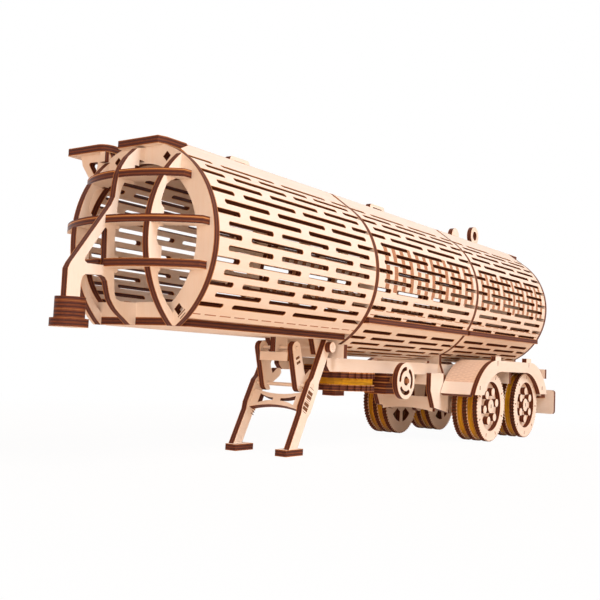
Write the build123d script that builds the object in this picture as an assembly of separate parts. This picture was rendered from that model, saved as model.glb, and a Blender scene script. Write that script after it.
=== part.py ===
# Toy tanker semi-trailer put together from laser-cut plywood boards.
# Millimetres. X runs forward to the kingpin, Y to the left, Z up. The origin is on the
# ground, under the middle of the overall box.
import math
import os

from build123d import *

os.makedirs("parts", exist_ok=True)

# Board, rods and fits
PLY = 3.3
ROD_R = 1.05
WASHER_R = 2.7
SEAT_GAP = 0.1
RUNNING_GAP = 0.08

# Overall places. Stations are measured along X from the front ring's front face,
# negative rearwards, and levels are measured along Z from the tank's axis.
TANK_R = 42.0
WHEEL_R = 22.7
TANK_AXIS_Z = TANK_R + 2 * WHEEL_R + 4.9
HALF_WIDTH = 44.8
KINGPIN_STATION = 33.0
KINGPIN_FLANGE_R = 7.4

# Tank
BAY_PITCH = 125.2
STRAP = 9.0
DECK_UNDER = TANK_R - 1.9
DECK_TOP = DECK_UNDER + PLY
DECK_HALF = 11.7
DECK_HEAD_HALF = 13.0
HEAD_REACH = 15.0
DECK_FRONT = 3.2
DECK_REAR = -3 * BAY_PITCH - 18.4
SHOULDER_TURN = 36.0
FLOOR_UNDER = -(TANK_R - 7.5)
FLOOR_HALF = 24.8
FLOOR_TONGUE_HALF = 19.0
RING_SILL = FLOOR_UNDER + 9.5
RAIL_TOP = -(TANK_R - 20.0)
RAIL_HALF = 37.0
RAIL_DEPTH = 8.0
DIAMOND = 3.4

# Slots in the bent sheets: rows by their turn from the top, webs as shares of a bay
SLOT_WIDTH = 2.2
SLOT_WEB = 6.0
ROW_TURN = 6.66
LOWEST_ROW_TURN = 127.1
ROWS_ABOVE = 15
ROWS_BELOW = 6
ODD_WEBS = (0.317, 0.669)
EVEN_WEBS = (0.141, 0.495, 0.844)

# Nose cage
SIDE_RIB_Y = 21.0
RIB_BULGE = 16.0
RIB_DEPTH = 6.5
CENTRE_BACK = 13.4
CAGE_END = 4.2
KINGPIN_R = 5.9
KINGPIN_UNDER = -(TANK_R - 4.7)

# Chassis
BEAM_OUTER = 17.0
BEAM_DEPTH = 7.0
BEAM_TOP = -(TANK_R + 1.8)
BEAM_UNDER = BEAM_TOP - BEAM_DEPTH
BEAM_FRONT = -BAY_PITCH + 3.7
LAP_LEVEL = BEAM_TOP - BEAM_DEPTH / 2
HANGER_UNDER = BEAM_UNDER - 4.0
WHEEL_INNER = 24.0
BAND_WIDTH = 3.7
AXLE_MID = -2 * BAY_PITCH - 60.6
AXLE_GAP = 62.0
FRONT_AXLE = AXLE_MID + AXLE_GAP / 2
REAR_AXLE = AXLE_MID - AXLE_GAP / 2
AXLE_LEVEL = WHEEL_R - TANK_AXIS_Z
AXLE_R = 2.4
AXLE_KEY = 3.3
AXLE_END = 0.2
TEETH = 32
TOOTH_DEPTH = 1.1
RIM_R = 15.8
CORE_R = 18.7
BAND_R = 21.6
BAND_SIDES = 32
HUB_R = 4.4
LOBE_R = 2.5
LOBE_PITCH_R = 9.6
LOBES = 6
LOBE_SIDES = 8
FENDER_CREST = AXLE_LEVEL + WHEEL_R + 7.0
FENDER_HALF = AXLE_GAP / 2 + WHEEL_R + 11.3
FENDER_OUTER = WHEEL_INNER + 3 * PLY + 2 * BAND_WIDTH + AXLE_END + PLY
FENDER_INNER = 21.6
FENDER_FOOT = AXLE_LEVEL + 7.6
BUMPER_STATION = AXLE_MID - FENDER_HALF - 15.5
RING_X = (PLY - BUMPER_STATION - KINGPIN_STATION - KINGPIN_FLANGE_R) / 2

# Landing stand
PIVOT_STATION = -BAY_PITCH + 6.8
PIVOT_LEVEL = FLOOR_UNDER - 3.9
FOOT_STATION = PIVOT_STATION + 24.9
FOOT_LENGTH = 14.2
FOOT_WIDTH = 6.6
LEG_OUTER = 18.9
STRUT_OUTER = 12.0
STRUT_HALF = 3.4
STRUT_TOP = (PIVOT_STATION + 17.4, PIVOT_LEVEL - 1.4)
STRUT_LOW = (PIVOT_STATION + 12.1, PIVOT_LEVEL - 19.9)

# Gear under the tank
SPARE_STATION = -BAY_PITCH - 29.8
SPARE_BAND = 3.6
HAND_WHEEL_STATION = SPARE_STATION - 29.0
HAND_WHEEL_LEVEL = BEAM_UNDER - 3.8
HAND_WHEEL_R = 10.3
HAND_WHEEL_Y = 30.0
WINCH_INNER = 6.0
WINCH_OUTER = 20.0
BUMPER_TOP = BEAM_UNDER - 8.4
BUMPER_UNDER = BUMPER_TOP - 17.8
SHELF_LEVEL = BUMPER_TOP - 6.2


def save(name, shape):
    """Writes one named piece."""
    shape.label = name
    export_step(shape, f"parts/{name}.step")


def at(station):
    """X of a station."""
    return RING_X + station


def up(level):
    """Z of a level."""
    return TANK_AXIS_Z + level


def across(face, station, thick=PLY):
    """Board square to X, drawn as (Y, level), its front face at the station."""
    plane = Plane(origin=(at(station) - thick, 0, TANK_AXIS_Z), x_dir=(0, 1, 0), z_dir=(1, 0, 0))
    return extrude(plane * face, thick, dir=(1, 0, 0))


def along(face, low_y, thick=PLY):
    """Board square to Y, drawn as (station, level), its low face at low_y."""
    plane = Plane(origin=(RING_X, low_y, TANK_AXIS_Z), x_dir=(1, 0, 0), z_dir=(0, -1, 0))
    return extrude(plane * face, thick, dir=(0, 1, 0))


def flat(face, level, thick=PLY):
    """Level board, drawn as (station, Y), its underside at the level."""
    plane = Plane(origin=(RING_X, 0, up(level)))
    return extrude(plane * face, thick, dir=(0, 0, 1))


def outline(points, radius=0.0):
    """Closed outline with every corner rounded by one radius, or by its own."""
    if isinstance(radius, (int, float)) and radius == 0:
        return make_face(Polyline(*points, close=True))
    return make_face(FilletPolyline(*points, radius=radius, close=True))


def window(low_a, high_a, low_b, high_b):
    """Rectangle between two limits on each axis."""
    return Pos((low_a + high_a) / 2, (low_b + high_b) / 2) * Rectangle(high_a - low_a, high_b - low_b)


def rod_y(station, level, low_y, high_y, radius=ROD_R):
    """Round rod along Y."""
    plane = Plane(origin=(at(station), low_y, up(level)), x_dir=(1, 0, 0), z_dir=(0, 1, 0))
    return extrude(plane * Circle(radius), high_y - low_y, dir=(0, 1, 0))


def both_sides(shape):
    """The shape with its mirror image across the middle plane."""
    return Compound(children=[shape, mirror(shape, Plane.XZ)])


def mirrored(shape):
    """Mirror image across the middle plane."""
    return mirror(shape, Plane.XZ)


# Ring and bulkheads, the diamonds by their turn from the top
DIAMOND_TURNS = (40.8, 132.8)


def tank_disc():
    """Round section of the tank under the flat of the roof deck."""
    return Circle(TANK_R) & window(-TANK_R, TANK_R, -TANK_R, DECK_UNDER)


def shoulder_start(inset):
    """Point, drawn as (Y, level), where the bent sheet leaves the circle and runs on straight."""
    turn = math.radians(SHOULDER_TURN)
    return (TANK_R - inset) * math.sin(turn), (TANK_R - inset) * math.cos(turn)


def shoulder_end(inset):
    """Point where the straight part of the bent sheet meets the side of the roof deck."""
    start_y, start_level = shoulder_start(inset)
    end_y = DECK_HALF + SEAT_GAP
    return end_y, start_level + (start_y - end_y) * math.tan(math.radians(SHOULDER_TURN))


def shouldered_disc():
    """Section of the tank with its two straight shoulders."""
    start = shoulder_start(0)
    end = shoulder_end(0)
    crown = outline([(0, 0), start, end, (-end[0], end[1]), (-start[0], start[1])])
    return (Circle(TANK_R) + crown) & window(-TANK_R, TANK_R, -TANK_R, DECK_UNDER)


def front_ring():
    disc = tank_disc() & window(-TANK_R, TANK_R, FLOOR_UNDER, TANK_R)
    opening = Circle(TANK_R - STRAP) & window(-TANK_R, TANK_R, RING_SILL, TANK_R)
    notch = window(-FLOOR_TONGUE_HALF, FLOOR_TONGUE_HALF, FLOOR_UNDER, FLOOR_UNDER + PLY)
    ring = across(disc - opening - notch, 0)
    diamond = Rotation(0, 0, 45) * Rectangle(DIAMOND, DIAMOND)
    for turn in DIAMOND_TURNS:
        for side in (1, -1):
            side_y = side * (TANK_R - STRAP / 2) * math.sin(math.radians(turn))
            level = (TANK_R - STRAP / 2) * math.cos(math.radians(turn))
            ring -= across(Pos(side_y, level) * diamond, 0)
    return ring


def bulkhead(station, foot_half):
    """Hollow bulkhead whose foot stands on the chassis beams."""
    profile = shouldered_disc() - Circle(TANK_R - STRAP)
    profile += window(-foot_half, foot_half, BEAM_TOP, -TANK_R + STRAP * 0.6)
    return across(profile, station)


def cradle_bulkhead(station):
    """Bulkhead whose foot reaches down past the beams and widens to a cradle."""
    waist = BEAM_OUTER + 0.7
    spread = waist + 3.4
    low = BEAM_UNDER - 6.2
    neck = outline([(-waist, BEAM_TOP), (waist, BEAM_TOP), (spread, low + 4), (spread, low), (-spread, low),
                    (-spread, low + 4)])
    arch = outline([(-spread + 5, low), (-spread + 5, low + 8), (-waist + 8, BEAM_TOP - 1),
                    (waist - 8, BEAM_TOP - 1), (spread - 5, low + 8), (spread - 5, low)])
    foot = bulkhead(station, waist) + across(neck - arch, station)
    return foot - beam_windows(station)


def beam_windows(station, thick=PLY):
    """Openings that let the two chassis beams through a cross board."""
    slot = window(BEAM_OUTER - PLY, BEAM_OUTER, BEAM_UNDER, BEAM_TOP)
    return across(slot + mirror(slot, Plane.YZ), station, thick)


def rear_bulkhead():
    profile = shouldered_disc() + window(-19, 19, BEAM_TOP, -TANK_R + STRAP)
    return across(profile, -3 * BAY_PITCH)


# Skins
def shell(low_level):
    """Left half of the bent sheet, from a level up to the side of the roof deck."""
    lines = []
    for inset in (0, PLY):
        arc = CenterArc((0, 0), TANK_R - inset, -90, 180 - SHOULDER_TURN)
        lines.append((arc, Line(shoulder_start(inset), shoulder_end(inset))))
    outer, inner = lines
    closing = [Line(shoulder_end(0), shoulder_end(PLY)), Line(outer[0] @ 0, inner[0] @ 0)]
    return make_face([*outer, *inner, *closing]) & window(0, TANK_R, low_level, TANK_R + PLY)


def belly_shell(high_level):
    """Left half of the bent sheet under a level."""
    return (Circle(TANK_R) - Circle(TANK_R - PLY)) & window(0, TANK_R, -TANK_R, high_level)


def bay_start(bay):
    return -bay * BAY_PITCH - PLY


def slot_fan(rows, even):
    """Every second row of a bay's slots, as thin radial rectangles drawn in (Y, level)."""
    bars = []
    for row in rows:
        if (row % 2 == 0) == even:
            turn = LOWEST_ROW_TURN - ROW_TURN * row
            bars.append(Rotation(0, 0, 90 - turn) * Pos(TANK_R - PLY / 2, 0) * Rectangle(2 * PLY, SLOT_WIDTH))
    return bars


def slots(bay, rows):
    """Slots of one bay in brick order: odd rows keep closed ends, even rows run out of the sheet."""
    length = BAY_PITCH - PLY
    cuts = []
    for even, webs in ((False, ODD_WEBS), (True, EVEN_WEBS)):
        margin = 0.0 if even else SLOT_WEB
        starts = [margin] + [share * length + SLOT_WEB / 2 for share in webs]
        ends = [share * length - SLOT_WEB / 2 for share in webs] + [length - margin]
        for bar in slot_fan(rows, even):
            for start, end in zip(starts, ends):
                cuts.append(across(bar, bay_start(bay) - start, end - start))
    return cuts


def upper_skin(bay):
    low = FLOOR_UNDER + PLY if bay == 0 else RAIL_TOP
    skin = across(shell(low), bay_start(bay), BAY_PITCH - PLY)
    lowest = math.degrees(math.acos(low / TANK_R)) - ROW_TURN / 2
    rows = [row for row in range(ROWS_ABOVE) if LOWEST_ROW_TURN - ROW_TURN * row < lowest]
    skin -= slots(bay, rows)
    if bay == 0:
        skin -= head_notch()
    return skin


def head_notch():
    """Slanted corner that clears the head of the roof deck."""
    half = TANK_R / 2
    face = outline([(0, 0), (0, half), (-PLY, half - 2.5), (-HEAD_REACH, DECK_HALF), (-HEAD_REACH, 0)])
    return flat(face, DECK_UNDER - 2 * PLY, 4 * PLY)


def belly_skin(bay):
    half = across(belly_shell(RAIL_TOP - PLY), bay_start(bay), BAY_PITCH - PLY)
    half -= slots(bay, range(-ROWS_BELOW, 0))
    return half + mirrored(half)


def rails(bay):
    face = window(bay_start(bay + 1) + PLY, bay_start(bay), RAIL_HALF - RAIL_DEPTH, RAIL_HALF)
    return both_sides(flat(face, RAIL_TOP - PLY))


# Roof
def roof_deck():
    head = HEAD_REACH - 2.6
    face = window(DECK_REAR, DECK_FRONT, -DECK_HALF, DECK_HALF)
    face += outline([(DECK_FRONT, -DECK_HALF), (DECK_FRONT, DECK_HALF), (-0.8, DECK_HEAD_HALF),
                     (-head, DECK_HEAD_HALF), (-head - 2, DECK_HALF), (-head - 2, -DECK_HALF),
                     (-head, -DECK_HEAD_HALF), (-0.8, -DECK_HEAD_HALF)])
    deck = flat(face, DECK_UNDER)
    for _, front, rear, _ in HANDLES:
        deck -= flat(window(rear + 2, front - 2, -PLY / 2, PLY / 2), DECK_UNDER)
    return deck


# Handle, its front and rear stations, and its height over the deck
HANDLES = (
    ("hatch_handle_front", -52.7, -71.0, 5.6),
    ("hatch_handle_middle", -182.5, -203.0, 6.0),
)


def handle(front, rear, height):
    top = DECK_TOP + height
    plate = outline([(rear, DECK_TOP), (rear + 2.6, top), (front - 2.6, top), (front, DECK_TOP)],
                    radius=[0, 1.5, 1.5, 0])
    tab = window(rear + 2, front - 2, DECK_UNDER, DECK_TOP)
    grip = window(rear + 5, front - 5, DECK_TOP + 1.2, top - 1.8)
    return along(plate + tab - grip, -PLY / 2)


# Disc of the fin, its station measured from the rear end of the deck, height of its centre, and radius
FIN_DISCS = (
    ("front", 91.0, 3.4, 5.8),
    ("rear", 58.0, 8.5, 6.6),
)


def roof_fin():
    start = DECK_REAR + 52.0
    end = DECK_REAR + 97.0
    plate = window(start, end, DECK_TOP, DECK_TOP + 3.4)
    for _, station, height, radius in FIN_DISCS:
        plate += Pos(DECK_REAR + station, DECK_TOP + height) * Circle(radius)
    plate &= window(start - 3, end + 7, DECK_TOP, DECK_TOP + 20)
    _, station, height, radius = FIN_DISCS[1]
    plate -= Pos(DECK_REAR + station, DECK_TOP + height) * Circle(radius - PLY)
    return along(plate, -PLY / 2)


# Front floor
def front_floor():
    rear = -BAY_PITCH
    chamfer = 5.0
    start = bay_start(0)
    face = outline([(start, -FLOOR_HALF + chamfer), (start - chamfer, -FLOOR_HALF), (rear, -FLOOR_HALF),
                    (rear, FLOOR_HALF), (start - chamfer, FLOOR_HALF), (start, FLOOR_HALF - chamfer)])
    tongue = window(start, 0, -FLOOR_TONGUE_HALF, FLOOR_TONGUE_HALF)
    return flat(face + tongue, FLOOR_UNDER)


# Nose cage
def chord(level):
    """Half-width of the tank's circle at a level."""
    return math.sqrt(TANK_R**2 - level**2)


def rib_lens(bulge, depth, half_top, half_low):
    """Crescent between two arcs, its ends on the ring's face."""
    mid = (half_top - half_low) / 2
    outer = ThreePointArc((0, half_top), (bulge, mid), (0, -half_low))
    inner = ThreePointArc((0, -half_low + 11), (bulge - depth, mid), (0, half_top - 11))
    edges = [outer, Line(outer @ 1, inner @ 0), inner, Line(inner @ 1, outer @ 0)]
    return make_face(edges)


def side_rib(side):
    low_y = side * SIDE_RIB_Y - PLY / 2
    rib = along(rib_lens(RIB_BULGE, RIB_DEPTH, chord(SIDE_RIB_Y) - 0.8, -FLOOR_UNDER), low_y)
    for _, share, _, bulge in CROSS_RIBS:
        level = share * TANK_R
        lap = lap_station(bulge)
        rib -= along(window(lap, bulge + 5, level - PLY / 2, level + PLY / 2), low_y)
    return rib


def lap_station(bulge):
    """Where a side rib and a cross rib share the depth of their half-lap."""
    return bulge - 7.0


# Cross rib, its level as a share of the tank's radius, how far its ends stay inside the tank, and its bulge
CROSS_RIBS = (
    ("nose_cross_upper", 0.619, 4.5, 14.0),
    ("nose_cross_middle", 0.157, 2.0, 19.5),
    ("nose_cross_lower", -0.257, 1.6, 19.0),
)


def cross_rib(share, inset, bulge):
    level = share * TANK_R
    half = chord(level) - inset
    depth = 9.5
    outer = ThreePointArc((CAGE_END, half), (bulge, 0), (CAGE_END, -half))
    inner = ThreePointArc((0, -half + 7), (bulge - depth, 0), (0, half - 7))
    low_end = Polyline(outer @ 1, (0, -half), inner @ 0)
    high_end = Polyline(inner @ 1, (0, half), outer @ 0)
    edges = [outer, low_end, inner, high_end]
    rib = flat(make_face(edges), level - PLY / 2)
    lap = lap_station(bulge)
    for side in (1, -1):
        rib_slot = window(0, lap, side * SIDE_RIB_Y - PLY / 2, side * SIDE_RIB_Y + PLY / 2)
        rib -= flat(rib_slot, level - PLY / 2)
    back = centre_back(abs(level) + PLY / 2)
    return rib - flat(window(back, bulge + 5, -PLY / 2, PLY / 2), level - PLY / 2)


def centre_back(level):
    """Rear edge of the centre rib at a level."""
    radius = ((TANK_R - 6.0)**2 + CENTRE_BACK**2) / (2 * CENTRE_BACK)
    return CENTRE_BACK - radius + math.sqrt(radius**2 - level**2)


def centre_rib():
    """Middle rib with the gooseneck arm that reaches down to the kingpin."""
    top = DECK_UNDER
    low = KINGPIN_UNDER
    throat = FLOOR_UNDER
    front = outline([(0, top - 0.3), (4.5, top - 1.5), (9.3, top - 6.1), (13.8, top - 14.3),
                     (15.1, top - 23.9), (17.0, top - 27.7), (35.2, low + 24.7), (36.4, low + 22.3),
                     (36.4, low + 3.5 * PLY),
                     (29.8, low + 3.5 * PLY), (29.8, low + 17.7), (27.0, low + 20.6), (18.4, low + 21.1),
                     (14.6, throat + 14.0), (8.0, throat + 5.9), (2.9, throat), (0, throat)])
    back = ThreePointArc((0, 6.0 - TANK_R), (CENTRE_BACK, 0), (0, TANK_R - 6.0))
    hollow = make_face([back, Line(back @ 1, back @ 0)])
    hollow &= window(0, CENTRE_BACK + 1, throat + 7.5, top - 11.1)
    brace_window = outline([(19.4, top - 36.5), (18.2, top - 39.1), (17.8, low + 26.3), (19.4, low + 25.3),
                            (27.4, low + 25.3), (28.0, low + 27.3)], radius=[0.6, 0.6, 0.8, 0.8, 0.8, 0.8])
    return along(front - hollow - brace_window, -PLY / 2)


def kingpin():
    pin = Circle(KINGPIN_R)
    plane = Plane(origin=(at(KINGPIN_STATION), 0, up(KINGPIN_UNDER)))
    flange = extrude(plane * Circle(KINGPIN_FLANGE_R), PLY, dir=(0, 0, 1))
    shank = extrude(plane.offset(PLY) * pin, 2.5 * PLY, dir=(0, 0, 1))
    return flange + shank


# Far-side platform beside the deck
PLATFORM_OUTER = TANK_R + 2.0
JOIST_OUTER = TANK_R / 2 + 2.8


def side_platform():
    inner = JOIST_OUTER - 4.2
    face = outline([(DECK_FRONT, -PLATFORM_OUTER), (DECK_FRONT, -inner), (-20.0, -inner),
                    (-20.0, -PLATFORM_OUTER)], radius=[0.8, 5.0, 0, 0.8])
    return flat(face, DECK_UNDER)


def platform_bracket():
    """Gusset in the plane of the ring and a joist along the tank, both under the platform."""
    outer = TANK_R - 3.5
    joist_inner = JOIST_OUTER - PLY
    profile = outline([(-outer, DECK_UNDER), (-outer + 1.3, DECK_UNDER - 4.3),
                       (-outer + 8.2, DECK_UNDER - 13.2), (0, 0), (-joist_inner, DECK_UNDER)])
    hole = outline([(-outer + 4.7, DECK_UNDER - 3.3), (-outer + 11.4, DECK_UNDER - 3.5),
                    (-outer + 10.3, DECK_UNDER - 8.5), (-outer + 9.1, DECK_UNDER - 9.1)], radius=0.8)
    gusset = across(profile - hole - Circle(TANK_R + SEAT_GAP), 0)
    start_y, start_level = shoulder_start(0)
    rest = start_level + (start_y - joist_inner) * math.tan(math.radians(SHOULDER_TURN)) + SEAT_GAP
    joist = window(-20.0, 0, rest, DECK_UNDER) + window(0, DECK_FRONT - 1, rest - 1.4, DECK_UNDER)
    return gusset + along(joist, -JOIST_OUTER)


# Chassis
def beam(side):
    bar = outline([(BEAM_FRONT, BEAM_TOP), (BEAM_FRONT, BEAM_UNDER + 3), (BEAM_FRONT - 3, BEAM_UNDER),
                   (BUMPER_STATION + 17, BEAM_UNDER), (BUMPER_STATION + 13, SHELF_LEVEL + PLY),
                   (BUMPER_STATION, SHELF_LEVEL + PLY), (BUMPER_STATION, BEAM_TOP)])
    low = BEAM_OUTER - PLY if side > 0 else -BEAM_OUTER
    return along(bar - lap_slot(), low)


def suspension(side):
    """Hanger that carries both axles, fixed to the inner face of its beam."""
    axles = (FRONT_AXLE, REAR_AXLE)
    bar = window(REAR_AXLE - 12, FRONT_AXLE + 12, HANGER_UNDER, BEAM_TOP)
    for station in axles:
        bar += outline([(station - 9, HANGER_UNDER), (station + 9, HANGER_UNDER),
                        (station + 6.5, AXLE_LEVEL), (station - 6.5, AXLE_LEVEL)])
        bar += Pos(station, AXLE_LEVEL) * Circle(6.5)
    for station in axles:
        bar -= Pos(station, AXLE_LEVEL) * Circle(AXLE_R + RUNNING_GAP)
    low = BEAM_OUTER - 2 * PLY if side > 0 else -BEAM_OUTER + PLY
    return along(bar - lap_slot(), low)


# Boards ahead of the wheels
CROSS_STATION = -2 * BAY_PITCH + 17.4
APRON_STATION = CROSS_STATION - 10.0
GUARD_OUTER = 21.2


def cross_frame():
    half = GUARD_OUTER - PLY
    low = BEAM_UNDER - 6.2
    frame = window(-half, half, low, BEAM_TOP + 1.5)
    for side in (1, -1):
        frame -= Pos(side * 7.0, (low + BEAM_TOP) / 2 + 0.4) * RectangleRounded(8.0, 8.0, 1.5)
        slot = window(BEAM_OUTER - PLY, half, BEAM_UNDER, BEAM_TOP)
        frame -= slot if side > 0 else mirror(slot, Plane.YZ)
    return across(frame, CROSS_STATION)


def guard_plates():
    """Side plates whose tops end against the feet of the third bulkhead."""
    front = CROSS_STATION
    foot_face = -2 * BAY_PITCH + SEAT_GAP
    top = BEAM_UNDER + 1.1
    low = BEAM_UNDER - 20.4
    plate = outline([(front, top), (front, low + 10.6), (front - 5.9, low), (foot_face - 8.0, low - 3.4),
                     (foot_face - 8.0, BEAM_UNDER - 6.3), (foot_face, BEAM_UNDER - 6.3), (foot_face, top)])
    return both_sides(along(plate, GUARD_OUTER - PLY))


def apron():
    half = GUARD_OUTER - PLY
    low = BEAM_UNDER - 23.4
    board = window(-half, half, low, low + 9.5)
    arch_r = 90.0
    board -= Pos(0, low + 2.1 - arch_r) * Circle(arch_r)
    return across(board, APRON_STATION)


def carrier_station():
    """Front face of the cross board that stands midway between the axles."""
    return (FRONT_AXLE + REAR_AXLE) / 2 + PLY / 2


def fender_carrier():
    """Cross board between the wheels, half-lapped over beams and hangers, that carries both fenders."""
    half = FENDER_OUTER - PLY
    board = window(-half, half, HANGER_UNDER, FENDER_CREST - PLY)
    for side in (1, -1):
        inner = BEAM_OUTER - 2 * PLY
        slot = window(inner, BEAM_OUTER, LAP_LEVEL, FENDER_CREST)
        board -= slot if side > 0 else mirror(slot, Plane.YZ)
    return across(board, carrier_station())


def lap_slot():
    """Slot, drawn along the trailer, that takes the fender carrier from below."""
    front = carrier_station()
    return window(front - PLY, front, HANGER_UNDER, LAP_LEVEL)


# Fenders
def arch(half_top, top, half_foot, via_in, via_down):
    """Area under an arch with a flat top, drawn along the trailer about the middle of the axles."""
    ends = []
    for side in (1, -1):
        ends.append(ThreePointArc((AXLE_MID + side * half_top, top),
                                  (AXLE_MID + side * (half_foot - via_in), top - via_down),
                                  (AXLE_MID + side * half_foot, FENDER_FOOT)))
    front, rear = ends
    return make_face([front, Line(front @ 1, rear @ 1), rear, Line(rear @ 0, front @ 0)])


def fender_crown(inset):
    """Area under the bent sheet, drawn in from its outside by the inset."""
    return arch(33.0, FENDER_CREST - inset, FENDER_HALF - inset, 12.8, 7.2)


def fender_sheet(side):
    ring = fender_crown(0) - fender_crown(PLY)
    low = FENDER_INNER if side > 0 else -FENDER_OUTER + PLY
    return along(ring, low, FENDER_OUTER - PLY - FENDER_INNER)


def fender_side(side):
    ring = fender_crown(0) - arch(19.0, FENDER_CREST - 7.1, FENDER_HALF - 14.5, 7.0, 7.6)
    for tab in (29.3, -26.0):
        ring += window(AXLE_MID + tab - 4.5, AXLE_MID + tab + 4.5, FENDER_CREST - 1, FENDER_CREST + 2.8)
    low = FENDER_OUTER - PLY if side > 0 else -FENDER_OUTER
    return along(ring, low)


# Wheels
def wheel_plane(axle_station, side, depth=0.0):
    """Plane across an axle, at a depth outward from the wheel's inner face."""
    origin = (at(axle_station), side * (WHEEL_INNER + depth), WHEEL_R)
    return Plane(origin=origin, x_dir=(1, 0, 0), z_dir=(0, side, 0))


def wheel(axle_station, side):
    """Wheel of three discs on a core, the outer and inner ones toothed, with lobes in its face."""
    width = 3 * PLY + 2 * BAND_WIDTH
    out = (0, side, 0)
    body = extrude(wheel_plane(axle_station, side) * RegularPolygon(CORE_R, BAND_SIDES), width, dir=out)
    middle = wheel_plane(axle_station, side, PLY + BAND_WIDTH)
    body += extrude(middle * RegularPolygon(WHEEL_R, BAND_SIDES), PLY, dir=out)
    for depth in (0, width - PLY):
        body += extrude(wheel_plane(axle_station, side, depth) * toothed_disc(), PLY, dir=out)
    recess = RegularPolygon(RIM_R, BAND_SIDES) - RegularPolygon(HUB_R, 2 * LOBE_SIDES)
    for lobe in range(LOBES):
        place = PolarLocations(LOBE_PITCH_R, 1, start_angle=48 + 60 * lobe).locations[0]
        recess -= place * RegularPolygon(LOBE_R, LOBE_SIDES)
    body -= extrude(wheel_plane(axle_station, side, width - PLY) * recess, PLY, dir=out)
    spokes = RegularPolygon(RIM_R - 2, BAND_SIDES) - RegularPolygon(HUB_R + 2.2, BAND_SIDES)
    for lobe in range(LOBES // 2):
        spokes -= Rotation(0, 0, 60 * lobe) * Rectangle(2 * RIM_R, 3.2)
    body -= extrude(wheel_plane(axle_station, side) * spokes, PLY, dir=out)
    return body - extrude(wheel_plane(axle_station, side) * Rectangle(AXLE_KEY, AXLE_KEY), width, dir=out)


def toothed_disc():
    """Disc with flat teeth, all of its outline straight."""
    points = []
    for tooth in range(TEETH):
        for share, radius in ((-0.28, WHEEL_R), (0.28, WHEEL_R), (0.3, WHEEL_R - TOOTH_DEPTH),
                              (0.7, WHEEL_R - TOOTH_DEPTH)):
            turn = math.radians((tooth + share) * 360 / TEETH)
            points.append((radius * math.cos(turn), radius * math.sin(turn)))
    return outline(points)


def band_ring():
    return RegularPolygon(BAND_R, BAND_SIDES) - RegularPolygon(CORE_R + SEAT_GAP, BAND_SIDES)


def bands(axle_station, side):
    rings = []
    for layer in range(2):
        depth = PLY + SEAT_GAP + layer * (PLY + BAND_WIDTH)
        plane = wheel_plane(axle_station, side, depth)
        rings.append(extrude(plane * band_ring(), BAND_WIDTH - 2 * SEAT_GAP, dir=(0, side, 0)))
    return Compound(children=rings)


def axle(axle_station):
    """Round axle with square ends keyed into the two wheels."""
    reach = WHEEL_INNER + 3 * PLY + 2 * BAND_WIDTH + AXLE_END / 2
    shaft = rod_y(axle_station, AXLE_LEVEL, -WHEEL_INNER, WHEEL_INNER, AXLE_R)
    key = window(axle_station - AXLE_KEY / 2, axle_station + AXLE_KEY / 2,
                 AXLE_LEVEL - AXLE_KEY / 2, AXLE_LEVEL + AXLE_KEY / 2)
    return shaft + along(key, -reach, 2 * reach)


# Landing stand
def leg_frame():
    """Origin on the pivot and unit steps down the leg and across it, in (station, level)."""
    foot_level = PLY - TANK_AXIS_Z
    run = FOOT_STATION + 1.4 - PIVOT_STATION
    drop = foot_level - PIVOT_LEVEL
    length = math.hypot(run, drop)
    return length, (run / length, drop / length)


def on_leg(down, side):
    """Point at a distance down the leg from its pivot and to one side of it."""
    _, step = leg_frame()
    return (PIVOT_STATION + step[0] * down - step[1] * side, PIVOT_LEVEL + step[1] * down + step[0] * side)


# Distance down the leg and half-width there
LEG_SHAPE = ((-3.0, 2.8), (19.5, 2.8), (22.5, 4.0), (35.5, 4.0), (39.0, 3.0))


def leg(side):
    length, _ = leg_frame()
    shape = LEG_SHAPE + ((length + 4, 3.0),)
    points = [on_leg(down, half) for down, half in shape]
    points += [on_leg(down, -half) for down, half in reversed(shape)]
    reach = (PIVOT_STATION - 50, PIVOT_STATION + 50)
    face = outline(points) & window(*reach, PLY - TANK_AXIS_Z, FLOOR_UNDER - SEAT_GAP)
    face -= Pos(*STRUT_LOW) * Circle(ROD_R)
    face -= Pos(PIVOT_STATION, PIVOT_LEVEL) * Circle(ROD_R)
    low = LEG_OUTER - PLY if side > 0 else -LEG_OUTER
    return along(face, low)


def stand_feet():
    face = window(FOOT_STATION - FOOT_LENGTH / 2, FOOT_STATION + FOOT_LENGTH / 2,
                  LEG_OUTER - FOOT_WIDTH, LEG_OUTER)
    return both_sides(flat(face, -TANK_AXIS_Z))


def stand_brace():
    """Waisted board between the legs, in the plane of their lean."""
    _, step = leg_frame()
    middle = on_leg(31.8, 0)
    plane = Plane(origin=(at(middle[0]), 0, up(middle[1])), x_dir=(0, 1, 0), z_dir=(step[1], 0, -step[0]))
    half = LEG_OUTER - PLY
    end = 5.2
    waist = 3.5
    board = outline([(-half, -end), (0, -waist), (half, -end), (half, end), (0, waist), (-half, end)])
    for side in (1, -1):
        board -= outline([(side * 2.2, -1.2), (side * 11.0, -3.0), (side * 11.0, 3.0), (side * 2.2, 1.2)])
    return extrude(plane * board, PLY / 2, both=True)


def struts():
    """Straight bars with round ends, from the top rod down to the rod through the legs."""
    run = STRUT_TOP[0] - STRUT_LOW[0]
    rise = STRUT_TOP[1] - STRUT_LOW[1]
    lean = math.degrees(math.atan2(rise, run))
    middle = ((STRUT_TOP[0] + STRUT_LOW[0]) / 2, (STRUT_TOP[1] + STRUT_LOW[1]) / 2)
    face = Pos(*middle) * Rotation(0, 0, lean) * SlotCenterToCenter(math.hypot(run, rise), 2 * STRUT_HALF)
    face -= Pos(*STRUT_TOP) * Circle(ROD_R)
    face -= Pos(*STRUT_LOW) * Circle(ROD_R)
    return both_sides(along(face, STRUT_OUTER - PLY))


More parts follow.
